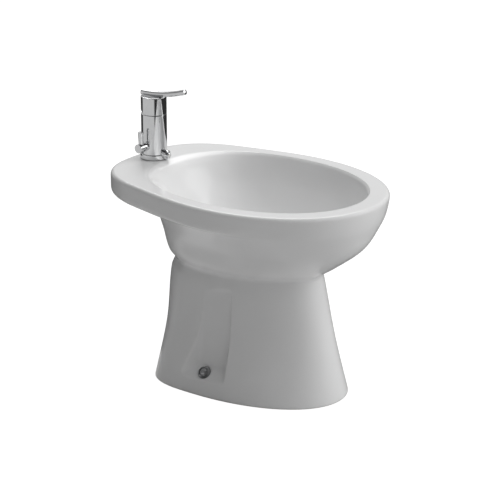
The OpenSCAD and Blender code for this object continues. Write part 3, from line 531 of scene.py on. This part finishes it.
tap_y = 232.0
arch_r, arch_z = 52, 248
arch = np.radians(np.linspace(0, 180, 25))
arch = np.c_[arch_r * np.cos(arch), arch_z + arch_r * np.sin(arch)]
overflow_z, near = 352.0, 5
front_wall = sections_at(basin_keys, [overflow_z - near, overflow_z, overflow_z + near])[:, 1]
lean = np.arctan((front_wall[0] - front_wall[2]) / (2 * near)) - np.pi / 2
at_overflow = (0, front_wall[1], overflow_z), about_x(lean)
duct_outer = [(-246, 366), (-256, 352), (-233, 302), (-186, 264), (-118, 240), (-22, 230),
              (-22, 243), (-110, 262), (-186, 292), (-222, 345)]
duct_inner = [(-234, 360), (-245, 351), (-225, 306), (-180, 272), (-114, 249), (-10, 238),
              (-10, 244), (-112, 256), (-176, 281), (-216, 310), (-232, 345)]
recess = [(-68, 188), (68, 188), (56, 256), (-56, 256)]
cut(ceramic, prism("duct_outer", duct_outer, -19, 19, 0), "UNION")
cut(ceramic, prism("duct_inner", duct_inner, -12, 12, 0))
cut(ceramic, lathe("overflow_hole", [(0, -18), (11, -18), (11, -1), (14.2, -1), (14.2, 8), (0, 8)],
                   48, *at_overflow))
cut(ceramic, prism("pipe_arch", [(-arch_r, -5), (arch_r, -5), *arch], 136, 196, 1))
cut(ceramic, prism("deck_recess", recess, 342, 376, 2))
cut(ceramic, lathe("tap_hole", rod(17.5, 370, 395), start=(0, tap_y, 0)))
for sign in (-1, 1):
    cut(ceramic, lathe("screw_hole", [(0, -30), (6, -30), (6, -0.8), (13.6, -0.8), (13.6, 26),
                                      (0, 26)], 48, *at_screw(sign)))
tidy_edges(ceramic, china_crisp)


# The glaze: a milky white glass 0.5 mm thick over the body, very slightly wavy, with a
# few pinholes, a little thinner and greyer along the edges. The foot is left bare and
# ground flat, so it shows the pale grey body.
def effect_group(name, inputs, outputs):
    """Node group with the named number inputs and the named number outputs."""
    group = bpy.data.node_groups.new(name, "ShaderNodeTree")
    for label, value in inputs.items():
        socket = group.interface.new_socket(label, in_out="INPUT", socket_type="NodeSocketFloat")
        socket.default_value = value
    for label in outputs:
        group.interface.new_socket(label, in_out="OUTPUT", socket_type="NodeSocketFloat")
    return group, group.nodes.new("NodeGroupInput").outputs, group.nodes.new("NodeGroupOutput")


def maths(tree, operation, first, second):
    """Output of a math node on two outputs or numbers."""
    return add(tree, "Math", {0: first, 1: second}, operation).outputs[0]


def noise(tree, vector, scale, detail=3.0, rough=0.5):
    """Noise texture; scale is in waves per metre."""
    return add(tree, "TexNoise", {"Vector": vector, "Scale": scale, "Detail": detail,
                                  "Roughness": rough}).outputs["Fac"]


# Cloudiness and grain: broad drifts and a fine surface, as a mask and a height
grain, given, made = effect_group(
    "cloud_and_grain", {"Cloud Scale": 8.0, "Grain Scale": 400.0, "Grain Share": 0.5},
    ("Cloud", "Grain", "Height"))
place = object_place(grain)
cloud = noise(grain, place, given["Cloud Scale"], 4.0, 0.55)
fine_grain = noise(grain, place, given["Grain Scale"], 2.0, 0.5)
kept = maths(grain, "MULTIPLY", fine_grain, given["Grain Share"])
others = maths(grain, "SUBTRACT", 1.0, given["Grain Share"])
feed(grain, made, {
    "Cloud": between(grain, cloud, 0.3, 0.7), "Grain": between(grain, fine_grain, 0.25, 0.75),
    "Height": maths(grain, "ADD", kept, maths(grain, "MULTIPLY", cloud, others))})

# Edge wear: strongest where the surface turns sharply, broken up by a fine noise
edges, given, made = effect_group("edge_wear", {"Sharpness": 0.06, "Breakup": 900.0}, ("Mask",))
turned = between(edges, add(edges, "NewGeometry").outputs["Pointiness"], 0.5,
                 maths(edges, "ADD", 0.5, given["Sharpness"]))
broken = noise(edges, object_place(edges), given["Breakup"], 3.0, 0.6)
broken = between(edges, broken, 0.35, 0.65)
wear = add(edges, "Math", {0: turned, 1: broken}, "MULTIPLY")
wear.use_clamp = True
feed(edges, made, {"Mask": wear})


def put_group(tree, group, values):
    """A node group in a material, with its own values in their order."""
    node = tree.nodes.new("ShaderNodeGroup")
    node.node_tree = group
    return feed(tree, node, dict(enumerate(values)))


def start_material(name, drift_by, wear_by, **settings):
    """Material, tree and shader with its settings; the outputs of its cloud and grain, by
    the waves per metre of each and the grain's share of the height; and its edge wear, by
    the sharpness of a fully worn edge and the waves per metre that break it up."""
    material, tree, out = new_material(name)
    shader = add(tree, "BsdfPrincipled",
                      {label.replace("_", " "): value for label, value in settings.items()})
    feed(tree, out, {"Surface": shader})
    return (material, tree, shader, put_group(tree, grain, drift_by).outputs,
            put_group(tree, edges, wear_by).outputs["Mask"])


def layered(tree, colour, *layers):
    """Colour with other colours laid over it, each by its mask."""
    colour = (*colour, 1.0)
    for mask, other in layers:
        node = tree.nodes.new("ShaderNodeMix")
        node.data_type = "RGBA"
        colour = feed(tree, node, {0: mask, 6: colour, 7: (*other, 1.0)}).outputs[2]
    return colour


def bump(tree, height, distance):
    """Bump of the given real height in metres."""
    return add(tree, "Bump", {"Height": height, "Distance": distance,
                              "Strength": 1.0}).outputs["Normal"]


glaze, tree, shader, drift, worn = start_material(
    "white_glaze", (7, 260, 0.25), (0.05, 240),
    Coat_Roughness=0.06, Coat_IOR=1.5, Specular_IOR_Level=0.15)
coat = 0.32
place = object_place(tree)
specks = add(tree, "TexVoronoi", {"Vector": place, "Scale": 46.0}).outputs["Distance"]
pinhole = between(tree, specks, 0.030, 0.014)
ragged = maths(tree, "MULTIPLY", noise(tree, place, 90.0), 0.0012)
above_foot = add(tree, "SeparateXYZ", {0: place}).outputs["Z"]
bare = between(tree, maths(tree, "SUBTRACT", above_foot, ragged), 0.0012, 0.0004)
satin = between(tree, drift["Grain"], 0.0, 1.0, 0.20, 0.27)
sunk = maths(tree, "MULTIPLY", pinhole, 0.4)
feed(tree, shader, {
    "Base Color": layered(tree, (0.852, 0.853, 0.854), (drift["Cloud"], (0.878, 0.879, 0.880)),
                          (worn, (0.815, 0.813, 0.806)),
                          (maths(tree, "MULTIPLY", pinhole, 0.35), (0.52, 0.50, 0.46)),
                          (bare, (0.66, 0.63, 0.575))),
    "Roughness": maths(tree, "ADD", satin, maths(tree, "MULTIPLY", bare, 0.6)),
    "Coat Weight": maths(tree, "SUBTRACT", coat, maths(tree, "MULTIPLY", bare, coat)),
    "Normal": bump(tree, maths(tree, "SUBTRACT", drift["Height"], sunk), 0.00022)})
ceramic.data.materials.clear()
ceramic.data.materials.append(glaze)
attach(ceramic, "base")
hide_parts("ceramic_body")


# ---- floor fixings
# Two pressed steel brackets are screwed to the floor inside the foot. From the ledge in each
# pocket a stainless screw slopes down through a cup washer, the china and a plastic bush
# into a nut on the bracket's leaf.
def dress(name, material):
    """Gives a CAD node, or a new piece, its material."""
    thing = nodes[name] if isinstance(name, str) else name
    thing.data.materials.clear()
    thing.data.materials.append(material)


def aged(name, drift_by, wear_by, tones, rough, relief, tone_by="Cloud", rough_by="Grain",
         pattern=None, film=None, **settings):
    """Material that varies between its first two tones, by a pattern of its own if it has
    one, and wears to the third along its edges. A film is a share of the cloud and a tone."""
    material, tree, shader, drift, worn = start_material(name, drift_by, wear_by, **settings)
    layers = [(pattern(tree) if pattern else drift[tone_by], tones[1])]
    if film:
        layers.append((maths(tree, "MULTIPLY", drift["Cloud"], film[0]), film[1]))
    feed(tree, shader, {
        "Base Color": layered(tree, tones[0], *layers, (worn, tones[2])),
        "Roughness": between(tree, drift[rough_by], 0, 1, *rough),
        "Normal": bump(tree, drift["Height"], relief)})
    return material


def spangle(tree):
    """Crystals of the zinc coat, about 2 mm across."""
    crystals = add(tree, "TexVoronoi", {"Vector": object_place(tree), "Scale": 420.0})
    return add(tree, "RGBToBW", {0: crystals.outputs["Color"]}).outputs[0]


zinc = aged("zinc_plated_steel", (60, 2400, 0.6), (0.08, 1500),
            ((0.54, 0.56, 0.58), (0.66, 0.67, 0.68), (0.42, 0.41, 0.40)), (0.34, 0.52), 0.00005,
            pattern=spangle, film=(0.35, (0.60, 0.58, 0.50)), Metallic=1)
for name in ("floor_bracket_left", "floor_bracket_right", "bracket_nuts", "clamp_plate",
             "fixing_stud", "waste_washer"):
    dress(name, zinc)


# Moulded plastic: a fine spark-eroded texture, with duller, paler edges
def moulded_plastic(name, colour, edge_colour, rough):
    """Satin plastic material in a colour, with its worn edge colour and roughness."""
    darker = tuple(0.93 * c for c in colour)
    return aged(name, (45, 3600, 0.8), (0.08, 1200), (darker, colour, edge_colour),
                (rough - 0.06, rough + 0.08), 0.00004, IOR=1.5)


white_plastic = moulded_plastic("white_plastic", (0.78, 0.78, 0.75), (0.86, 0.86, 0.84), 0.42)
for name in ("screw_bushes", "cartridge_base", "cartridge_swivel", "ball_seat", "aerator_insert"):
    dress(name, white_plastic)


def rounded(profile, radius, steps=5):
    """Profile of (radius, height) corners with every inner corner replaced by an arc
    tangent to both of its sides; radius is one number, or one for each corner. A point
    just past each end of an arc keeps the straight sides straight in the light."""
    pts = np.asarray(profile, float)
    r = np.broadcast_to(np.asarray(radius, float), len(pts))
    rows = [pts[:1]]
    for k in range(1, len(pts) - 1):
        a, b = pts[k - 1] - pts[k], pts[k + 1] - pts[k]
        la, lb = np.linalg.norm(a), np.linalg.norm(b)
        a, b = a / la, b / lb
        half = np.arccos(np.clip(a @ b, -1, 1)) / 2
        if r[k] <= 0 or half > 1.55:
            rows.append(pts[k:k + 1])
            continue
        reach = min(r[k] / np.tan(half), 0.48 * la, 0.48 * lb)
        centre = pts[k] + (a + b) / np.linalg.norm(a + b) * reach / np.cos(half)
        start, end = pts[k] + a * reach - centre, pts[k] + b * reach - centre
        turn = np.pi - 2 * half
        s = np.linspace(0, 1, steps + 1)[:, None]
        arc = centre + (np.sin((1 - s) * turn) * start + np.sin(s * turn) * end) / np.sin(turn)
        rows.append(np.vstack([arc[:1] + a * min(0.3 * reach, 0.01 * la), arc,
                               arc[-1:] + b * min(0.3 * reach, 0.01 * lb)]))
    return np.vstack(rows + [pts[-1:]])


# Satin stainless steel of the screws and cup washers, with fine turning marks
satin_steel = aged("satin_steel", (90, 2600, 0.7), (0.07, 1500),
                   ((0.34, 0.345, 0.35), (0.46, 0.465, 0.47), (0.62, 0.62, 0.63)), (0.24, 0.38),
                   0.00003, Metallic=1)
for name in ("stem_pin", "handle_screw", "waste_cam"):
    dress(name, satin_steel)
cup_profile = rounded(
    [(3.4, 1.5), (3.4, -0.7), (12.5, -0.7), (12.5, 0.9), (10.7, 6.0), (8.9, 6.15), (7.95, 3.4),
     (3.4, 3.4), (3.4, 1.5)], 0.6, 4)
screw_profile = np.vstack([[(0, -23.9)], rounded(
    [(2.2, -23.9), (2.95, -22.9), (2.95, 3.5), (7.5, 3.5), (7.5, 5.4), (4.0, 6.95), (0, 7.0)],
    [0, 0.2, 0.2, 0.2, 1.4, 3.4, 0], 5)])
slot_turn = np.radians(-14)
slot_line = np.array([(-0.8, -9), (0.8, -9), (0.8, 9), (-0.8, 9)]) @ np.array(
    [[np.cos(slot_turn), np.sin(slot_turn)], [-np.sin(slot_turn), np.cos(slot_turn)]])
for side, sign in (("left", -1), ("right", 1)):
    # cup washer: a shallow cone with a rolled rim round a sunk seat
    spot, turned = at_screw(sign)
    cup = lathe(f"cup_washer_{side}", cup_profile, 80, spot, turned)
    dress(cup, satin_steel)
    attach(cup, "base")
    if side == "left":
        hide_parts("screw_cups")
    # pan-head screw with a slot across the head
    screw = lathe(f"fixing_screw_{side}", screw_profile, 72)
    cut(screw, prism("slot", slot_line, 5.4, 9.0, 2))
    screw.data.transform(Matrix.Translation(np.array(spot) * mm)
                         @ Matrix(turned.tolist()).to_4x4())
    tidy_edges(screw)
    dress(screw, satin_steel)
    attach(screw, "base")
    if side == "left":
        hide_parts("side_screws")


# ---- mixer body
# Brass casting, machined and chromed: a straight barrel that holds the cartridge, a
# spigot that centres it in the deck, and a short boss low at the front for the nozzle.
chrome, tree, shader, drift, worn = start_material(
    "polished_chrome", (70, 1500, 0.35), (0.1, 1400), Metallic=1)
haze = between(tree, drift["Cloud"], 0.35, 1.0, 0.045, 0.085)
feed(tree, shader, {
    "Base Color": layered(tree, (0.70, 0.705, 0.715), (drift["Cloud"], (0.755, 0.76, 0.765)),
                          (worn, (0.80, 0.80, 0.80))),
    "Roughness": maths(tree, "ADD", haze, maths(tree, "MULTIPLY", worn, 0.05)),
    "Normal": bump(tree, drift["Height"], 0.000018)})

tap = np.array([0.0, tap_y, rim_z])
at_spout = tap + (0, 0, 15.8), about_x(np.radians(100))
along_x = np.array([[0, 0, 1.0], [0, 1, 0], [-1, 0, 0]])
at_control = tap + (0, 0, 27), along_x
barrel = lathe("mixer_barrel", rounded(
    [(0, -4), (17.15, -4), (17.15, 3.8), (24.3, 3.8), (24.3, 87.0), (20.05, 87.0), (20.05, 78),
     (18.35, 78), (18.35, 60), (0, 60)], [0, 0.5, 0.2, 0.5, 0.7, 0.4, 0.2, 0.2, 0.2, 0], 4),
    128, tap)
cut(barrel, lathe("boss", rounded(rod(9.0, 12, 26.6), [0, 0, 0.5, 0], 4), 64, *at_spout), "UNION")
cut(barrel, lathe("boss_bore", [(0, 8), (4.5, 8), (4.5, 23.6), (7.4, 23.6), (7.4, 30), (0, 30)],
                  48, *at_spout))
cut(barrel, lathe("popup_bore", rod(6.05, -26, -11.4), 48, *at_control))
for hole, radius, high, spot in (
    ("hot_inlet", 4.9, 18, (-6.4, 9.6)), ("cold_inlet", 4.9, 18, (6.4, 9.6)),
    ("stud_hole", 4.0, 20, (10.5, -6)), ("cable_hole", 2.6, 24, (-12, -4)),
):
    cut(barrel, lathe(hole, rod(radius, -5, high), 32, tap + (*spot, 0)))
tidy_edges(barrel)
dress(barrel, chrome)
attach(barrel, "base")
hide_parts("mixer_body")

# Base ring: a pressed and chromed brass skirt over the rubber seal, notched for the nozzle
skirt = lathe("base_skirt", rounded(
    [(17.45, 1.05), (26.7, 1.05), (26.7, 9.9), (25.2, 10.0), (24.4, 9.0), (24.4, 3.9), (17.45, 3.9),
     (17.45, 1.05)], [0, 0.6, 1.4, 0.5, 0.4, 0.2, 0.2, 0], 6), 128, tap)
cut(skirt, lathe("skirt_notch", rod(9.25, 10, 40), 64, *at_spout))
tidy_edges(skirt)
dress(skirt, chrome)
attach(skirt, "base")
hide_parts("base_ring")

# ---- seals and deck fixing
# Rubber rings and gasket, a zinc plated horseshoe plate, a threaded stud and its brass nut.
# The waste and the cartridge have the same rubber and brass.
rubber = aged("black_rubber", (80, 3000, 0.7), (0.08, 1500),
              ((0.030, 0.030, 0.031), (0.048, 0.047, 0.046), (0.085, 0.083, 0.080)), (0.62, 0.82),
              0.00012, Specular_IOR_Level=0.3)
for name in ("base_seal", "deck_gasket", "cartridge_seals", "waste_top_seal", "waste_gasket",
             "tailpiece_seal", "plug_seal"):
    dress(name, rubber)
brass = aged("turned_brass", (50, 1800, 0.5), (0.08, 1300),
             ((0.60, 0.46, 0.20), (0.72, 0.58, 0.30), (0.82, 0.70, 0.42)), (0.24, 0.40), 0.00004,
             rough_by="Cloud", Metallic=1)
for name in ("fixing_nut", "cartridge_stem", "cable_gland_mixer", "cable_gland_waste",
             "waste_body", "waste_nut", "cam_gland"):
    dress(name, brass)

# ---- cartridge
# 35 mm ceramic disc cartridge: a white port plate, two lapped alumina discs, a blue
# housing, a white swivel with a steel pin, a brass stem, and a chromed ring nut.
alumina = aged("lapped_alumina", (120, 4000, 0.8), (0.08, 1500),
               ((0.74, 0.73, 0.70), (0.82, 0.81, 0.79), (0.66, 0.64, 0.60)), (0.16, 0.26), 0.00001,
               tone_by="Grain", rough_by="Cloud")
blue_plastic = moulded_plastic("blue_plastic", (0.10, 0.17, 0.36), (0.20, 0.29, 0.48), 0.38)
for name, material in (("cartridge_housing", blue_plastic), ("fixed_disc", alumina),
                       ("moving_disc", alumina), ("cartridge_nut", chrome)):
    dress(name, material)


# ---- lever handle
# Brass casting, chromed: a cap over the cartridge with a round bar laid across its top,
# which curves up to its tip. Its rear is cut away so that it can tilt back.
def swept(name, route, radius, sides=40):
    """Round bar along a route of points in millimetres: the ring at point i is
    p(i) + r(i) (cos t u(i) + sin t v(i)), with u and v square to the route and to each
    other, and u square to the X axis. A radius of nought closes an end."""
    line = np.asarray(route, float)
    thick = np.broadcast_to(np.asarray(radius, float), len(line))[:, None, None]
    along = np.gradient(line, axis=0)
    along /= np.linalg.norm(along, axis=1, keepdims=True)
    u = np.cross(along, (1.0, 0.0, 0.0))
    u /= np.linalg.norm(u, axis=1, keepdims=True)
    v = np.cross(u, along)
    t = np.linspace(0, 2 * np.pi, sides, endpoint=False)[None, :, None]
    points = line[:, None] + thick * (np.cos(t) * u[:, None] + np.sin(t) * v[:, None])
    return make_piece(name, points.reshape(-1, 3) * mm, grid_faces(len(line), sides))


cap = lathe("lever_cap", rounded(
    [(0, 98.5), (8, 98.5), (8, 112), (21.8, 112), (21.8, 87.6), (24.3, 87.6), (24.3, 121),
     (0, 121)], [0, 0.4, 0.6, 1.5, 0.4, 0.5, 1.3, 0], 5), 128, tap)
# the bar's line is an arc in the mixer's middle plane, lowest behind the axis
low_y, low_z, bar_arc, rear_y, tip_y = 23.4, 123.6, 312.0, 28.5, 77
bar_r, end_round = 5, 0.7
bend = np.linspace(np.arcsin((rear_y - low_y) / bar_arc), -np.arcsin((tip_y + low_y) / bar_arc), 60)
bar_line = np.c_[0 * bend, low_y + bar_arc * np.sin(bend),
                 low_z + bar_arc * (1 - np.cos(bend))] + tap
ends = np.array([0, 0.002, 0.1, 0.35, 0.7])
away = np.cumsum(np.r_[0, np.linalg.norm(np.diff(bar_line, axis=0), axis=1)])
at = np.r_[ends, np.linspace(1.2, away[-1] - 1.2, 56), away[-1] - ends[::-1]]
route = np.stack([np.interp(at, away, bar_line[:, k]) for k in range(3)], -1)
from_end = np.clip(np.minimum(at, away[-1] - at) / end_round, 0, 1)
thick = bar_r - end_round * (1 - np.sqrt(1 - (1 - from_end) ** 2))
thick[[0, -1]] = 0
cut(cap, swept("bar", route, thick), "UNION")
relief = prism("relief", [(-60, -40), (60, -40), (60, -0.7), (-60, -0.7)], -40, 40, 0)
relief.data.transform(Matrix.Translation((0, tap_y * mm, (rim_z + 88) * mm))
                      @ Matrix.Rotation(np.radians(25), 4, "X"))
cut(cap, relief)
stem = 4.02
cut(cap, prism("stem_socket", [(-stem, tap_y - stem), (stem, tap_y - stem), (stem, tap_y + stem),
                               (-stem, tap_y + stem)], rim_z + 90, rim_z + 111.2, 2))
at_index = tap + (0, 0, 104), np.array([[1.0, 0, 0], [0, 0, 1], [0, -1, 0]])
cut(cap, lathe("screw_way", [(0, 0), (2.5, 0), (2.5, 22.8), (4, 22.8), (4, 30), (0, 30)], 40,
               *at_index))
tidy_edges(cap)
dress(cap, chrome)
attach(cap, "lever")
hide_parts("lever_handle")


# Red and blue index plug, pushed in over the grub screw that clamps the lever to its stem
def halves(tree):
    """Left and right half of the plug."""
    sides = add(tree, "SeparateXYZ", {0: object_place(tree)})
    return between(tree, sides.outputs["X"], -0.00008, 0.00008)


index = aged("index_plastic", (90, 3600, 0.5), (0.08, 1500),
             ((0.62, 0.045, 0.035), (0.045, 0.12, 0.55), (0.72, 0.70, 0.70)), (0.22, 0.34), 0.00002,
             pattern=halves, film=(0.12, (0.3, 0.3, 0.3)))
plug = lathe("index_plug", rounded(rod(3.95, 22.8, 24.0), [0, 0.1, 0.35, 0], 4), 48, *at_index)
dress(plug, index)
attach(plug, "lever")
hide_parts("temperature_plug")

# ---- nozzle
# A chromed ring screwed into the boss holds the ball of the swivelling nozzle against
# a white plastic seat. A perforated aerator disc sits inside the ball's neck.
ring = lathe("nozzle_ring", rounded(
    [(7.15, 26.6), (9.0, 26.6), (9.0, 32.6), (7.8, 33.8), (6.78, 33.8), (6.78, 32.4), (7.15, 32.4),
     (7.15, 26.6)], [0, 0.2, 0.5, 0.4, 0.2, 0, 0, 0], 4), 96, *at_spout)
dress(ring, chrome)
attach(ring, "base")
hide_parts("spout_ring")
ball_r, ball_height = 7, 30.2
turn = np.radians(np.linspace(-59.0, 39.5, 26))
ball = lathe("nozzle_ball", np.vstack([
    np.c_[ball_r * np.cos(turn), ball_height + ball_r * np.sin(turn)],
    rounded([(5.4, 34.8), (5.4, 37.6), (3.6, 37.6), (3.6, 24.2)], [0, 0.4, 0.4, 0], 4)]),
    96, *at_spout)
dress(ball, chrome)
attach(ball, "nozzle")
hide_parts("spout_ball")

# ---- pop-up control
# A chromed bushing screwed into the body's side carries the control: a turned hub with
# a tapered upright pin on the outside, a steel shaft, and a crank that pulls the cable.
collar = lathe("popup_collar", rounded(
    [(3.55, -29.1), (7.6, -29.1), (7.6, -24.0), (6.0, -24.0), (6.0, -16.0), (3.55, -16.0),
     (3.55, -29.1)], [0, 0.5, 0.2, 0.2, 0.3, 0.2, 0], 4), 96, *at_control)
seat = lathe("barrel_seat", rod(24.35, 12, 42), 128, tap)
cut(seat, lathe("bush_way", rod(6.02, -40, -10), 96, *at_control))
cut(collar, seat)
tidy_edges(collar)
dress(collar, chrome)
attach(collar, "base")
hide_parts("popup_bushing")
hub = lathe("popup_hub", rounded(
    [(0, -47.5), (8.5, -47.5), (8.5, -29.4), (3.5, -29.4), (3.5, -15.7), (5.4, -15.7),
     (5.4, -13.6), (0, -13.6)], [0, 0.9, 0.4, 0.2, 0.2, 0.2, 0.2, 0], 5), 96, *at_control)
pin_profile = rounded([(0, 31), (4.25, 31), (5.5, 58), (0, 58)], [0, 0, 0.8, 0], 5)
cut(hub, lathe("upright_pin", pin_profile, 64, tap + (-38.4, 0, 0)), "UNION")
cut(hub, lathe("crank_pin", rod(1.2, -14.0, -11.7), 24, tap + (0, -3.6, 27), along_x), "UNION")
tidy_edges(hub)
dress(hub, chrome)
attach(hub, "popup")
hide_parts("popup_lever")

# ---- control cable
# A steel wire in a black plastic sheath, from the mixer's gland under the deck, down
# behind the bowl and round to the gland on the waste. Both ends are held.
stations = [
    (-0.012, 0.228, 0.380), (-0.012, 0.228, 0.368), (-0.011, 0.225, 0.358), (-0.006, 0.214, 0.347),
    (0.0, 0.200, 0.338), (0.008, 0.186, 0.322), (0.014, 0.174, 0.300), (0.019, 0.160, 0.272),
    (0.023, 0.142, 0.246), (0.027, 0.116, 0.226), (0.030, 0.086, 0.217), (0.032, 0.062, 0.214),
    (0.032, 0.046, 0.208), (0.032, 0.038, 0.199), (0.032, 0.038, 0.190)]


def spline(stations, per_span):
    """Smooth line through stations: a cubic on each span, whose slope at a station is half
    the step between its neighbours."""
    p = np.asarray(stations, float)
    slope = np.gradient(p, axis=0)
    t = (np.arange(per_span) / per_span)[None, :, None]
    a, b, u, v = p[:-1, None], p[1:, None], slope[:-1, None], slope[1:, None]
    rows = (a * (2 * t**3 - 3 * t**2 + 1) + u * (t**3 - 2 * t**2 + t)
            + b * (3 * t**2 - 2 * t**3) + v * (t**3 - t**2))
    return np.vstack([rows.reshape(-1, 3), p[-1:]])


cable_line = spline(stations, 8)
end_cap = np.array([0, 0, 1e-5])
cable = swept("cable_sheath", np.vstack([cable_line[:1] + end_cap, cable_line,
                                         cable_line[-1:] - end_cap]) / mm,
              [0, *[2.5] * len(cable_line), 0], 16)
sheath = moulded_plastic("cable_sheath", (0.035, 0.035, 0.037), (0.075, 0.074, 0.072), 0.52)
dress(cable, sheath)
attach(cable, "base")
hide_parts("control_cable")

# ---- pop-up waste
# A chromed flange is screwed through the drain hole into a brass body below. The plug's
# stem rests on a crank, which the cable turns; a chromed tailpiece leads to the trap.
drain = (0, drain_y, 0)
flange = lathe("waste_grating", rounded(
    [(17, 206), (19.5, 206), (19.5, 248.2), (31.5, 248.2), (30.4, 249.9), (20.8, 250.0),
     (17, 246.6), (17, 206)], [0, 0.3, 0.2, 0.5, 1.2, 1.6, 1.5, 0], 5), 128, drain)
for turn in (0, 90):
    spin = np.array([[np.cos(np.radians(turn)), -np.sin(np.radians(turn)), 0],
                     [np.sin(np.radians(turn)), np.cos(np.radians(turn)), 0], [0, 0, 1]])
    cut(flange, lathe("side_holes", rod(3.5, -22, 22), 32, (0, drain_y, 236), spin @ along_x))
tidy_edges(flange)
dress(flange, chrome)
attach(flange, "base")
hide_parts("waste_flange")
dress("tailpiece_nut", chrome)

# The plug shut: its stem ends 0.2 mm above the crank's pin, which is the plug's stroke below
# its place with the plug up, where the crank's arm stands 29.55 degrees above level.
crank_z, crank_arm, pin_r, stroke = 176, 10, 2, 9
foot = crank_z + crank_arm * np.sin(np.radians(29.55)) - stroke + pin_r + 0.2
turn = np.radians(np.linspace(-85, 85, 11))
stopper = lathe("waste_stopper", np.vstack([
    rounded([(0, foot), (5, foot), (5, foot + 4), (3, foot + 4), (3, 242), (15.2, 242),
             (15.2, 243.65)], [0, 0.6, 0.4, 0.3, 0.6, 0.3, 0], 4),
    np.c_[15.2 - 1.35 * np.cos(turn), 245 + 1.35 * np.sin(turn)],
    rounded([(15.2, 246.35), (15.2, 248.1), (19.4, 251.4), (19.2, 252.0)], [0, 0.4, 0.3, 0], 4),
    [(18.4, 252.25), (16.5, 252.55), (13.5, 252.78), (9, 252.92), (4, 252.98), (0, 253.0)]]),
    128, drain)
dress(stopper, chrome)
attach(stopper, "plug")
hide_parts("waste_plug")
pipe = lathe("tail_pipe", rounded(
    [(14.4, 92), (16, 92), (16, 138), (15.7, 138.4), (15.7, 158), (14.4, 158), (14.4, 92)],
    [0, 0.4, 0.2, 0.2, 0.4, 0.4, 0], 4), 96, drain)
dress(pipe, chrome)
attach(pipe, "base")
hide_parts("tailpiece")

# Overflow ring: turned brass, chromed, pushed into the hole high in the bowl's front wall
grommet = lathe("overflow_grommet", rounded(
    [(8.5, -12), (10.9, -12), (10.9, -0.8), (14, -0.8), (14, 0.8), (8.5, 0.8), (8.5, -12)],
    [0, 0.3, 0.1, 0.3, 0.6, 0.8, 0], 5), 96, *at_overflow)
dress(grommet, chrome)
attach(grommet, "base")
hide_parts("overflow_ring")
